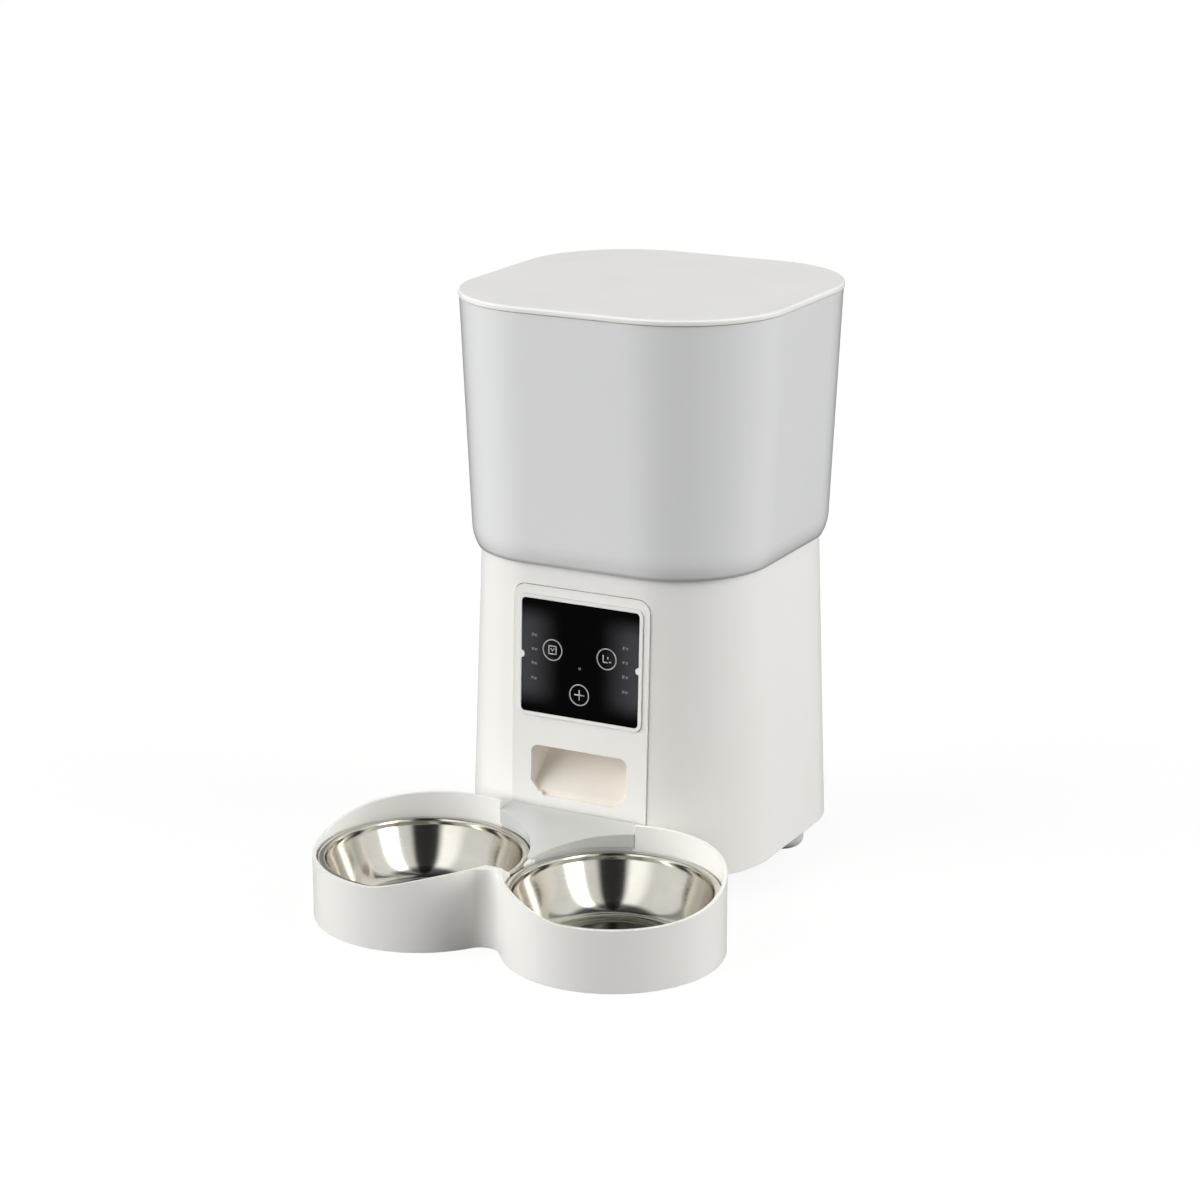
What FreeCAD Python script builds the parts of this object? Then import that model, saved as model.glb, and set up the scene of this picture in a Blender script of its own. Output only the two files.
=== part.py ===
import FreeCAD, Part
"""Automatic pet feeder with two bowls, as a parametric FreeCAD document.

A tall housing with rounded corners stands on four rubber feet. A frosted food hopper lifts off
its top, and a rotor in the hopper's floor drops food down a chute, out of the front panel and
along a guide into two steel bowls, which stand in a figure-of-eight tray.

Frame: millimetres, +Z up, the front faces -Y. The origin is on the floor, in the middle of the
whole feeder. The housing and hopper share one upright axis, AXIS_Y behind the origin, and each
sub-part is drawn about that axis.
"""
import math
import os
import re

import Sketcher
from FreeCAD import Rotation, Vector

# Driving dimensions, in millimetres, counts or degrees.
SIZES = {
    # Lid
    "total_height": 365, "lid_half": 107, "lid_corner": 70.5, "lid_band": 3.4, "lid_edge": 1.5,
    "skirt_depth": 9, "skirt_wall": 2.4, "seal_height": 3, "seal_bite": 1, "seal_reach": 0.9,
    "drier_radius": 36, "drier_depth": 23, "drier_wall": 1.6,
    # Hopper
    "hopper_top_half": 106.4, "hopper_waist_half": 100, "hopper_waist_level": 218,
    "hopper_curl": 30, "hopper_wall": 2.2, "funnel_wall": 1.8, "funnel_top_level": 290,
    "cup_top_level": 243, "baffle_level": 236.5, "baffle_wall": 2.5,
    # Rotor
    "rotor_radius": 68, "rotor_height": 28, "rotor_blades": 6, "blade_wall": 2,
    "hub_radius": 11, "spigot_radius": 9, "stirrer_reach": 52, "stirrer_bar": 3,
    # Housing
    "base_top_level": 203.5, "base_bottom_level": 15, "base_top_half": 94.2,
    "base_bottom_half": 101.1, "base_corner": 58, "base_wall": 2.5, "deck_wall": 2.5,
    "plate_wall": 3, "boss_radius": 4, "boss_height": 30, "cover_wall": 1.2,
    "cover_top_level": 51, "cover_reach": 25, "foot_radius": 15, "foot_edge": 6,
    "front_foot_x": 62, "front_foot_y": -52, "rear_foot_x": 80, "rear_foot_y": 28,
    # Front panel
    "panel_half": 47, "panel_top": 190.5, "panel_bottom": 19, "panel_corner": 8.5,
    "panel_wall": 2.5, "bezel_half": 42.9, "bezel_low": 107.4, "bezel_high": 184.6,
    "bezel_rim": 2.3, "bezel_corner": 5, "bezel_proud": 0.8, "lens_wall": 2,
    "lens_sunk": 0.3, "notch_level": 146, "board_half": 41, "board_low": 101.5,
    "board_high": 189, "board_wall": 1.6, "board_gap": 3.5, "post_radius": 2.4,
    "peg_radius": 1.5, "peg_tail": 1, "outlet_half": 33.3, "outlet_low": 56.4,
    "outlet_high": 88.6, "outlet_corner": 5, "sill_rise": 2.4, "sill_inset": 5.8,
    "sill_chamfer": 9, "key_spread": 18.5, "key_rise": 5, "key_drop": 21,
    "spring_radius": 4, "spring_wire": 0.8, "lamp_x": 31.5, "lamp_rise": 13,
    "lamp_pitch": 9, "lamp_radius": 1.5, "lamp_height": 1.2,
    # Chute
    "chute_wall": 2, "drop_half": 28, "drop_front": 68, "drop_back": 26, "chute_bend": 116,
    "chute_brow": 104,
    # Gear train
    "tooth_module": 0.8, "pinion_teeth": 14, "wheel_teeth": 36, "output_teeth": 40,
    "gear_width": 6, "layer_pitch": 9, "gear_floor": 164, "gearbox_wall": 2,
    "gearbox_x": 6, "gearbox_y": 26, "gearbox_half_x": 27, "gearbox_half_y": 47,
    "gearbox_height": 35, "gearbox_post_x": 23, "gearbox_post_y": 43, "backlash": 0.16,
    "mesh_slack": 0.08, "axle_radius": 1.5, "shaft_radius": 4, "hex_radius": 4,
    "motor_radius": 12, "motor_length": 30, "spindle_radius": 1,
    # Battery bay
    "cell_diameter": 34.2, "cell_length": 61.5, "cell_gap": 1, "spring_room": 8,
    "tab_room": 2, "bay_front": 8, "bay_wall": 2,
    # Electronics
    "speaker_radius": 18, "speaker_height": 12, "speaker_x": -62,
    "speaker_y": -14, "socket_level": 84, "socket_bore": 3.2,
    "screw_radius": 1.4, "screw_head": 2.6, "screw_head_height": 1.8,
    # Bowls and tray
    "bowl_reach": 177.2, "bowl_spacing": 64.9, "bowl_rim": 64.6, "bowl_rim_level": 37.6,
    "bowl_foot": 44, "bowl_gauge": 0.8, "bowl_lip": 2.6, "bowl_curl": 15,
    "tray_gap": 0.8, "tray_wall": 2.2,
    "tray_floor": 2.5, "tray_front": 38.8, "tray_back": 53.5, "tray_peak": 49.8,
    "tray_valley": 12, "guide_top": 50, "guide_tip": 40.8, "guide_tip_reach": 160,
    "guide_wall": 1.8, "tongue_half": 30, "tongue_low": 3, "tongue_high": 12,
    "tongue_reach": 30,
    # Clearances
    "shadow_gap": 0.4, "seam": 0.3, "trim_gap": 0.15, "running": 0.05, "free": 0.5,
}

# Values worked out from the driving dimensions.
DERIVED = {
    "axis_y": "(bowl_reach + tray_outer - lid_half) / 2",
    "lid_low": "total_height - lid_band",
    "hopper_top": "lid_low - shadow_gap",
    "hopper_low": "base_top_level + shadow_gap",
    "hopper_slope": "(hopper_top_half - hopper_waist_half) / (hopper_top - hopper_waist_level)",
    "curl_low": "hopper_waist_level - hopper_curl",
    "curl_low_half": "hopper_waist_half - hopper_slope * hopper_curl",
    "corner_inset": "lid_half - lid_corner",
    "hopper_floor": "hopper_low + hopper_wall",
    "rotor_low": "hopper_floor + shadow_gap",
    "rotor_top": "rotor_low + rotor_height",
    "cup_inner": "rotor_radius + 2 * shadow_gap",
    "base_rise": "base_top_level - base_bottom_level",
    "base_slope": "(base_bottom_half - base_top_half) / base_rise",
    "base_bottom_corner": "base_corner + base_bottom_half - base_top_half",
    "deck_low": "base_top_level - deck_wall",
    "plate_top": "base_bottom_level + plate_wall",
    "boss_place": "base_bottom_half - base_bottom_corner"
                  " + (base_bottom_corner - base_wall - boss_radius + 1) * sqrt(0.5)",
    "lens_half": "bezel_half - bezel_rim",
    "bezel_middle": "(bezel_low + bezel_high) / 2 - base_bottom_level",
    "bezel_half_height": "(bezel_high - bezel_low) / 2",
    "lens_half_height": "bezel_half_height - bezel_rim",
    "lens_corner": "bezel_corner - bezel_rim",
    "lens_back": "lens_wall + lens_sunk - bezel_proud",
    "board_front": "panel_wall + board_gap",
    "tray_inner": "bowl_rim + tray_gap",
    "tray_outer": "tray_inner + tray_wall",
    "bay_half": "1.5 * cell_diameter + 2 * cell_gap",
    "bay_length": "cell_length + spring_room + tab_room",
    "bay_top": "plate_top + cell_diameter + 2 * cell_gap",
    "cell_level": "plate_top + cell_diameter / 2 + cell_gap / 2",
    "gear_low": "gear_floor + gearbox_wall + 3",
    "gearbox_top": "gear_floor + gearbox_height",
    "guide_low": "tray_front + seam",
    "tray_rear": "base_bottom_half + free",
}


# ---------------------------------------------------------------- sheet and features

doc = FreeCAD.newDocument("PetFeeder")
sheet = doc.addObject("Spreadsheet::Sheet", "Sizes")
for row, (alias, number) in enumerate(SIZES.items(), start=1):
    sheet.set(f"A{row}", alias)
    sheet.set(f"B{row}", str(number))
    sheet.setAlias(f"B{row}", alias)
doc.recompute()


def bound(text):
    """Return an expression with every size's name pointed at the sheet."""
    def point(match):
        word = match[0]
        if word in SIZES:
            return f"Sizes.{word}"
        return f"({bound(DERIVED[word])})" if word in DERIVED else word
    return re.sub(r"[A-Za-z_]\w*", point, str(text))


def value(text):
    """Return an expression's present number."""
    result = sheet.evalExpression(bound(text))
    return float(getattr(result, "Value", result))


def bind(thing, **links):
    """Bind a thing's properties to expressions; double underscores stand for dots."""
    for name, text in links.items():
        thing.setExpression(name.replace("__", "."), bound(text))
    return thing


def new_body(label):
    """Return an empty body whose own axis is the housing's axis."""
    body = doc.addObject("PartDesign::Body", label)
    body.Label = label
    return bind(body, Placement__Base__y="axis_y")


def new_panel_body(label):
    """Return a body whose XZ plane lies on the housing's leaning front face."""
    body = new_body(label)
    body.Placement.Rotation = Rotation(Vector(-1, 0, 0), 1)
    return bind(body, Placement__Base__y="axis_y - base_bottom_half",
                Placement__Base__z="base_bottom_level",
                Placement__Rotation__Angle="atan(base_slope)")


def new_sketch(body, plane, level):
    """Return a sketch on one of the body's own planes, moved along its normal by level."""
    sketch = body.newObject("Sketcher::SketchObject", f"{body.Name}_sketch")
    feature = next(f for f in body.Origin.OriginFeatures if f.Role == f"{plane}_Plane")
    sketch.AttachmentSupport = [(feature, "")]
    sketch.MapMode = "FlatFace"
    sketch.setExpression("AttachmentOffset.Base.z", bound(level))
    return sketch


def dimension(sketch, kind, text, *places):
    """Add a named dimension that follows an expression."""
    index = sketch.addConstraint(Sketcher.Constraint(kind, *places, value(text)))
    name = f"size{index}"
    sketch.renameConstraint(index, name)
    sketch.setExpression(f"Constraints.{name}", bound(text))


def outline(body, half_x, half_y, corner, level, x="0", y="0", plane="XY"):
    """Sketch a rectangle with round corners about the point x, y."""
    sketch = new_sketch(body, plane, level)
    cx, cy, hx, hy, r = (value(text) for text in (x, y, half_x, half_y, corner))
    kx, ky = hx - r, hy - r
    sides = [((-kx, -hy), (kx, -hy)), ((hx, -ky), (hx, ky)),
             ((kx, hy), (-kx, hy)), ((-hx, ky), (-hx, -ky))]
    corners = [(kx, -ky, -90), (kx, ky, 0), (-kx, ky, 90), (-kx, -ky, 180)]
    for (x1, y1), (x2, y2) in sides:
        sketch.addGeometry(Part.LineSegment(Vector(cx + x1, cy + y1, 0), Vector(cx + x2, cy + y2, 0)))
    for x1, y1, turn in corners:
        ring = Part.Circle(Vector(cx + x1, cy + y1, 0), Vector(0, 0, 1), r)
        sketch.addGeometry(Part.ArcOfCircle(ring, math.radians(turn), math.radians(turn + 90)))
    for side in range(4):
        sketch.addConstraint(Sketcher.Constraint("Tangent", side, 2, 4 + side, 1))
        sketch.addConstraint(Sketcher.Constraint("Tangent", 4 + side, 2, (side + 1) % 4, 1))
    for side, kind in enumerate(("Horizontal", "Vertical", "Horizontal", "Vertical")):
        sketch.addConstraint(Sketcher.Constraint(kind, side))
    for arc in (5, 6, 7):
        sketch.addConstraint(Sketcher.Constraint("Equal", 4, arc))
    dimension(sketch, "Radius", corner, 4)
    dimension(sketch, "DistanceX", f"{x} + {half_x}", -1, 1, 1, 1)
    dimension(sketch, "DistanceY", f"{y} + {half_y}", -1, 1, 2, 1)
    dimension(sketch, "DistanceX", f"2 * ({half_x})", 3, 1, 1, 1)
    dimension(sketch, "DistanceY", f"2 * ({half_y})", 0, 1, 2, 1)
    return sketch


def circle(body, radius, level, x="0", y="0", plane="XY"):
    """Sketch a circle about the point x, y."""
    sketch = new_sketch(body, plane, level)
    centre = Vector(value(x), value(y), 0)
    sketch.addGeometry(Part.Circle(centre, Vector(0, 0, 1), value(radius)))
    dimension(sketch, "Radius", radius, 0)
    dimension(sketch, "DistanceX", x, -1, 1, 0, 3)
    dimension(sketch, "DistanceY", y, -1, 1, 0, 3)
    return sketch


def polygon(body, plane, points, level="0"):
    """Sketch straight lines through points given as pairs of expressions."""
    sketch = new_sketch(body, plane, level)
    places = [Vector(value(across), value(up), 0) for across, up in points]
    for start, end in zip(places, places[1:] + places[:1]):
        sketch.addGeometry(Part.LineSegment(start, end))
    for line in range(len(points)):
        sketch.addConstraint(Sketcher.Constraint("Coincident", line, 2, (line + 1) % len(points), 1))
    for line, (across, up) in enumerate(points):
        dimension(sketch, "DistanceX", across, -1, 1, line, 1)
        dimension(sketch, "DistanceY", up, -1, 1, line, 1)
    return sketch


def rectangle(body, plane, low_x, high_x, low_y, high_y, level="0"):
    """Sketch a plain rectangle from its four sides."""
    points = [(low_x, low_y), (high_x, low_y), (high_x, high_y), (low_x, high_y)]
    return polygon(body, plane, points, level)


def pad(body, sketch, length, lean=None, backwards=False, both_ways=False):
    """Raise a sketch into a solid; lean is the tangent of its sides' slope."""
    before = body.Shape.Volume if body.Tip else 0
    feature = body.newObject("PartDesign::Pad", f"{body.Name}_pad")
    feature.Profile = sketch
    feature.Reversed = backwards
    feature.Midplane = both_ways
    bind(feature, Length=length)
    if lean:
        bind(feature, TaperAngle=f"atan({lean})")
    doc.recompute()
    if body.Shape.Volume <= before:
        raise ValueError(f"{feature.Name} adds nothing")
    return feature


def pocket(body, sketch, length, lean=None, forwards=True, both_ways=False):
    """Cut a sketch out of the solid, along its normal when forwards."""
    before = body.Shape.Volume
    feature = body.newObject("PartDesign::Pocket", f"{body.Name}_pocket")
    feature.Profile = sketch
    feature.Reversed = forwards
    feature.Midplane = both_ways
    bind(feature, Length=length)
    if lean:
        bind(feature, TaperAngle=f"atan({lean})")
    doc.recompute()
    if body.Shape.Volume >= before:
        raise ValueError(f"{feature.Name} cuts nothing")
    return feature


def revolve(body, points):
    """Turn a profile of radius and height pairs round the body's upright axis."""
    sketch = polygon(body, "XZ", points)
    feature = body.newObject("PartDesign::Revolution", f"{body.Name}_turned")
    feature.Profile = sketch
    feature.ReferenceAxis = (sketch, ["V_Axis"])
    feature.Angle = 360
    doc.recompute()
    return feature


def edges_where(body, test):
    """Return the names of the body's edges whose vertices all pass a test."""
    edges = enumerate(body.Tip.Shape.Edges, start=1)
    return [f"Edge{number}" for number, edge in edges if all(test(v.Point) for v in edge.Vertexes)]


def fillet(body, radius, test):
    """Round the edges whose vertices all pass a test."""
    base = (body.Tip, edges_where(body, test))
    feature = body.newObject("PartDesign::Fillet", f"{body.Name}_fillet")
    feature.Base = base
    bind(feature, Radius=radius)
    doc.recompute()
    return feature


def at_corner(across, height):
    """Return a test for points on an upright edge's or a level edge's spot in X and Z."""
    x, z = value(across), value(height)
    return lambda point: abs(point.x - x) < 0.01 and abs(point.z - z) < 0.01


def at_level(text):
    """Return a test for points at a height."""
    height = value(text)
    return lambda point: abs(point.z - height) < 0.01


def cylinder(name, radius, height, x="0", y="0", z="0", turn=None):
    """Return a Part cylinder that stands at x, y, z from the housing's axis."""
    thing = doc.addObject("Part::Cylinder", name)
    if turn:
        thing.Placement.Rotation = turn
    return bind(thing, Radius=radius, Height=height, Placement__Base__x=x,
                Placement__Base__y=f"axis_y + {y}", Placement__Base__z=z)


def block(name, size_x, size_y, size_z, x="0", y="0", z="0"):
    """Return a Part box centred on x and y, with its underside at z."""
    thing = doc.addObject("Part::Box", name)
    return bind(thing, Length=size_x, Width=size_y, Height=size_z,
                Placement__Base__x=f"{x} - ({size_x}) / 2",
                Placement__Base__y=f"axis_y + {y} - ({size_y}) / 2", Placement__Base__z=z)


def cut(name, base, tool):
    """Return one object with another taken away from it."""
    thing = doc.addObject("Part::Cut", name)
    thing.Base = base
    thing.Tool = tool
    return thing


def fuse(name, *things):
    """Return several objects joined as one."""
    thing = doc.addObject("Part::MultiFuse", name)
    thing.Shapes = list(things)
    return thing


def group(label, things):
    """Return one sub-part that holds several separate solids."""
    thing = doc.addObject("Part::Compound", label)
    thing.Label = label
    thing.Links = list(things)
    return thing


def screw(name, length, x, y, z, turn=None):
    """Return a screw whose head's underside is at x, y, z and whose shank points up."""
    spin = turn or Rotation()
    shank = cylinder(f"{name}_shank", "screw_radius", length, x, y, z, spin)
    head = cylinder(f"{name}_head", "screw_head", "screw_head_height", x, y, z,
                    spin * Rotation(Vector(1, 0, 0), 180))
    return fuse(name, shank, head)


SIGNS = [(a, b) for a in (-1, 1) for b in (-1, 1)]


# ---------------------------------------------------------------- housing

def make_base_shell():
    """Tapered outer housing with its deck, front opening, holes and screw bosses."""
    body = new_body("base_shell")
    pad(body, outline(body, "base_bottom_half", "base_bottom_half", "base_bottom_corner",
                      "base_bottom_level"), "base_rise", "-base_slope")
    inner = "base_bottom_half - base_wall"
    pocket(body, outline(body, inner, inner, "base_bottom_corner - base_wall",
                         "base_bottom_level"), "base_rise - deck_wall", "-base_slope")
    pocket(body, outline(body, "panel_half + seam", "(panel_top - panel_bottom) / 2 + seam",
                         "panel_corner + seam", "base_top_half - 10", "0",
                         "(panel_top + panel_bottom) / 2", "XZ"), "20")
    for a, b in SIGNS:
        pad(body, circle(body, "boss_radius", "plate_top", f"{a} * boss_place",
                         f"{b} * boss_place"), "boss_height")
        pocket(body, circle(body, "screw_radius", "plate_top", f"{a} * boss_place",
                            f"{b} * boss_place"), "boss_height / 2")
    pocket(body, rectangle(body, "XY", "-drop_half", "drop_half", "-drop_front", "-drop_back",
                           "deck_low"), "deck_wall + 1")
    pocket(body, circle(body, "shaft_radius + free", "deck_low"), "deck_wall + 1")
    pocket(body, circle(body, "socket_bore + 2 * seam + 0.6", "-base_top_half + 8", "0",
                        "socket_level", "XZ"), "20", forwards=False)
    for a, b in SIGNS:
        pocket(body, circle(body, "screw_radius", "deck_low", f"gearbox_x + {a} * gearbox_post_x",
                            f"gearbox_y + {b} * gearbox_post_y"), "deck_wall / 2")
    return body


def make_bottom_plate():
    """Floor of the housing, with the battery opening, sound slots and screw holes."""
    body = new_body("bottom_plate")
    half = "base_bottom_half - base_wall - seam"
    pad(body, outline(body, half, half, "base_bottom_corner - base_wall - seam",
                      "base_bottom_level"), "plate_wall", "-base_slope")
    pocket(body, rectangle(body, "XY", "-bay_half - bay_wall", "bay_half + bay_wall",
                           "bay_front - bay_wall", "bay_front + bay_length + bay_wall",
                           "base_bottom_level"), "plate_wall")
    for a, b in SIGNS:
        pocket(body, circle(body, "screw_radius", "base_bottom_level", f"{a} * boss_place",
                            f"{b} * boss_place"), "plate_wall")
    for slot in (-1, 0, 1):
        pocket(body, rectangle(body, "XY", "speaker_x - 10", "speaker_x + 10",
                               f"speaker_y + {slot} * 7 - 1.2", f"speaker_y + {slot} * 7 + 1.2",
                               "base_bottom_level"), "plate_wall")
    return body


def make_rear_cover():
    """Thin skirt that wraps the housing's rear corners below cover_top_level."""
    body = new_body("rear_cover")
    low = "base_bottom_level + 1"
    half = "base_bottom_half - base_slope"
    rise = f"cover_top_level - ({low})"
    pad(body, outline(body, f"{half} + cover_wall", f"{half} + cover_wall",
                      "base_bottom_corner - base_slope + cover_wall", low), rise, "-base_slope")
    pocket(body, outline(body, f"{half} + trim_gap", f"{half} + trim_gap",
                         "base_bottom_corner - base_slope + trim_gap", low), rise, "-base_slope")
    pocket(body, rectangle(body, "XY", "-2 * base_bottom_half", "2 * base_bottom_half",
                           "-2 * base_bottom_half", "base_bottom_half - cover_reach", low),
           rise)
    return body


def make_rubber_feet():
    """Four round feet with rounded undersides."""
    feet = []
    for number, (a, b) in enumerate(SIGNS):
        row = "rear" if b > 0 else "front"
        disc = cylinder(f"foot_{number}_disc", "foot_radius", "base_bottom_level",
                        f"{a} * {row}_foot_x", f"{row}_foot_y")
        doc.recompute()
        foot = doc.addObject("Part::Fillet", f"foot_{number}")
        foot.Base = disc
        rims = enumerate(disc.Shape.Edges, start=1)
        low = [n for n, edge in rims if edge.Closed and edge.CenterOfMass.z < 1]
        foot.Edges = [(n, SIZES["foot_edge"], SIZES["foot_edge"]) for n in low]
        feet.append(foot)
    return group("rubber_feet", feet)


# ---------------------------------------------------------------- front panel

def front_outline(body, grow, level):
    """Sketch the front panel's outline, grown all round, on the leaning face."""
    return outline(body, f"panel_half + {grow}", f"(panel_top - panel_bottom) / 2 + {grow}",
                   f"panel_corner + {grow}", level, "0",
                   "(panel_top + panel_bottom) / 2 - base_bottom_level", "XZ")


def bezel_outline(body, shrink, level):
    """Sketch the bezel's outline, shrunk all round, on the leaning face."""
    return outline(body, f"bezel_half - ({shrink})", f"bezel_half_height - ({shrink})",
                   f"bezel_corner - ({shrink})", level, "0", "bezel_middle", "XZ")


BOARD_SPOTS = [(f"{a} * (board_half - 2 * post_radius)", f"{level} - base_bottom_level")
               for a in (-1, 1)
               for level in ("board_low + post_radius", "board_high - post_radius")]


def make_front_panel():
    """Leaning front plate with the display opening, the food outlet and pegged board posts."""
    body = new_panel_body("front_panel")
    pad(body, front_outline(body, "0", "-panel_wall"), "panel_wall")
    pocket(body, bezel_outline(body, "-trim_gap", "-panel_wall - 1"), "panel_wall + 2")
    step = "outlet_half - sill_inset"
    sill = "outlet_low + sill_rise"
    side = [("outlet_half", "outlet_high"), ("outlet_half", "outlet_low + sill_chamfer"),
            (step, sill), (f"{step} - 2", sill), (f"{step} - 3", "outlet_low")]
    points = [(f"-({across})", up) for across, up in side] + side[::-1]
    local = [(across, f"{up} - base_bottom_level") for across, up in points]
    pocket(body, polygon(body, "XZ", local, "-panel_wall - 1"), "panel_wall + 2")
    for spot in BOARD_SPOTS:
        pad(body, circle(body, "post_radius", "-board_front", *spot, "XZ"), "board_gap")
        pad(body, circle(body, "peg_radius", "-board_front - board_wall - peg_tail", *spot, "XZ"),
            "board_wall + peg_tail")
    for a in (-1, 1):
        fillet(body, "outlet_corner",
               at_corner(f"{a} * outlet_half", "outlet_high - base_bottom_level"))
    return body


def make_panel_bezel():
    """Raised rim round the display lens, with a locating notch on each side."""
    body = new_panel_body("panel_bezel")
    depth = "panel_wall + bezel_proud"
    pad(body, bezel_outline(body, "0", "-panel_wall"), depth)
    pocket(body, bezel_outline(body, "2 * bezel_rim", "-panel_wall"), depth)
    pocket(body, bezel_outline(body, "bezel_rim", "-lens_back"), "lens_back + bezel_proud")
    for a in (-1, 1):
        pad(body, circle(body, "bezel_rim - running", "-lens_back", f"{a} * lens_half",
                         "notch_level - base_bottom_level", "XZ"), "lens_back + bezel_proud")
    return body


def make_panel_lens():
    """Dark glossy window of the touch display."""
    body = new_panel_body("panel_lens")
    pad(body, bezel_outline(body, "bezel_rim + trim_gap", "-lens_back"), "lens_wall")
    for a in (-1, 1):
        pocket(body, circle(body, "bezel_rim + trim_gap", "-lens_back", f"{a} * lens_half",
                            "notch_level - base_bottom_level", "XZ"), "lens_wall")
    return body


def make_touch_board():
    """Circuit board behind the display, on the pegs of the panel's posts."""
    body = new_panel_body("touch_board")
    pad(body, rectangle(body, "XZ", "-board_half", "board_half", "board_low - base_bottom_level",
                        "board_high - base_bottom_level", "-board_front - board_wall"),
        "board_wall")
    for spot in BOARD_SPOTS:
        pocket(body, circle(body, "peg_radius + running", "-board_front - board_wall", *spot, "XZ"),
               "board_wall")
    return body


def panel_solid(shape, across, up, depth):
    """Move a primitive to a spot on the leaning face, depth behind its surface."""
    lean = value("atan(base_slope)")
    shape.Placement.Rotation = Rotation(Vector(-1, 0, 0), lean) * Rotation(Vector(1, 0, 0), 90)
    rise = f"({up} - base_bottom_level)"
    drop = f"({depth})"
    return bind(shape, Placement__Base__x=across,
                Placement__Base__y="axis_y - base_bottom_half"
                                   f" + {rise} * sin(atan(base_slope))"
                                   f" + {drop} * cos(atan(base_slope))",
                Placement__Base__z="base_bottom_level"
                                   f" + {rise} * cos(atan(base_slope))"
                                   f" - {drop} * sin(atan(base_slope))",
                Placement__Rotation__Angle="90 - atan(base_slope) / 1deg")


KEYS = [("-key_spread", "notch_level + key_rise"), ("key_spread", "notch_level + key_rise"),
        ("0", "notch_level - key_drop")]


def make_touch_springs():
    """Three sleeve springs that carry touch from the lens to the board."""
    springs = []
    for number, (across, up) in enumerate(KEYS):
        outer = panel_solid(doc.addObject("Part::Cylinder", f"spring_{number}_outer"),
                            across, up, "board_front")
        inner = panel_solid(doc.addObject("Part::Cylinder", f"spring_{number}_inner"),
                            across, up, "board_front")
        bind(outer, Radius="spring_radius", Height="board_front - lens_back")
        bind(inner, Radius="spring_radius - spring_wire", Height="board_front - lens_back")
        springs.append(cut(f"spring_{number}", outer, inner))
    return group("touch_springs", springs)


def make_indicator_lamps():
    """Two columns of small lamps on the touch board."""
    lamps = []
    for side in (-1, 1):
        for row in range(4):
            lamp = doc.addObject("Part::Cylinder", f"lamp_{side + 1}_{row}")
            panel_solid(lamp, f"{side} * lamp_x", f"notch_level + lamp_rise - {row} * lamp_pitch",
                        "board_front")
            bind(lamp, Radius="lamp_radius", Height="lamp_height")
            lamps.append(lamp)
    return group("indicator_lamps", lamps)


# ---------------------------------------------------------------- chute

def make_chute():
    """Duct from the deck's drop hole down to the outlet in the front panel."""
    body = new_body("chute")

    def inside(level):
        """Return the panel's back face at a level, less a running clearance."""
        return (f"-(base_bottom_half - ({level} - base_bottom_level) * base_slope)"
                " + panel_wall + running")

    wall = "chute_wall"
    outer = [("-drop_front - 0.5 - chute_wall", "deck_low"),
             ("-drop_front - 0.5 - chute_wall", "chute_brow"),
             (inside("outlet_high + chute_wall"), "outlet_high + chute_wall"),
             (inside("outlet_low - chute_wall"), "outlet_low - chute_wall"),
             ("-drop_back + 0.5 + chute_wall", "chute_bend - chute_wall"),
             ("-drop_back + 0.5 + chute_wall", "deck_low")]
    inner = [("-drop_front - 0.5", "deck_low + 1"), ("-drop_front - 0.5", "chute_brow - 1"),
             ("-base_bottom_half - 5", "outlet_high - 1"), ("-base_bottom_half - 5", "outlet_low - 4"),
             ("-drop_back + 0.5", "chute_bend"), ("-drop_back + 0.5", "deck_low + 1")]
    pad(body, polygon(body, "YZ", outer), f"2 * (outlet_half + {wall} + 0.2)", both_ways=True)
    pocket(body, polygon(body, "YZ", inner), "2 * (outlet_half + 0.2)", both_ways=True)
    return body


def make_food_sensors():
    """Two infrared sensor blocks on the chute's sides."""
    place = "outlet_half + chute_wall + 0.2 + 2.5"
    return group("food_sensors", [block(f"sensor_{a + 1}", "5", "8", "8", f"{a} * ({place})",
                                        "-drop_front - 6", "chute_brow - 14") for a in (-1, 1)])


# ---------------------------------------------------------------- gear train

PRESSURE_ANGLE = 20


def gear_shape(teeth, low, width, bore, phase):
    """Return a spur gear about the origin with a tooth centre at phase, in radians."""
    module = value("tooth_module")
    pitch = module * teeth / 2
    tip = pitch + 0.9 * module
    root = pitch - 1.2 * module
    base = pitch * math.cos(math.radians(PRESSURE_ANGLE))

    def inv(angle):
        """Return the involute of an angle."""
        return math.tan(angle) - angle

    def flank(radius):
        """Return half a tooth's angle at a radius, less the backlash."""
        half = math.pi / 2 / teeth + inv(math.acos(base / pitch)) - value("backlash") / 2 / pitch
        return half - inv(math.acos(base / max(radius, base)))

    def spot(radius, angle):
        """Return the point at a radius and an angle."""
        return Vector(radius * math.cos(angle), radius * math.sin(angle), low)

    edges = []
    step = 2 * math.pi / teeth
    middle = (max(base, root) + tip) / 2
    for tooth in range(teeth):
        centre = phase + tooth * step
        for side in (-1, 1):
            heights = (root, middle, tip) if side < 0 else (tip, middle, root)
            start, through, end = (spot(r, centre + side * flank(r)) for r in heights)
            edges.append(Part.Arc(start, through, end).toShape())
            if side < 0:
                edges.append(Part.Arc(end, spot(tip, centre),
                                      spot(tip, centre + flank(tip))).toShape())
        edges.append(Part.Arc(end, spot(root, centre + step / 2),
                              spot(root, centre + step - flank(root))).toShape())
    solid = Part.Face(Part.Wire(edges)).extrude(Vector(0, 0, width))
    return solid.cut(Part.makeCylinder(bore, width, Vector(0, 0, low)))


def meshed_phase(teeth_a, phase_a, teeth_b, angle):
    """Return the phase of gear b that meshes with gear a, which lies at angle from it."""
    return angle + math.pi + math.pi / teeth_b - (phase_a - angle) * teeth_a / teeth_b


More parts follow.
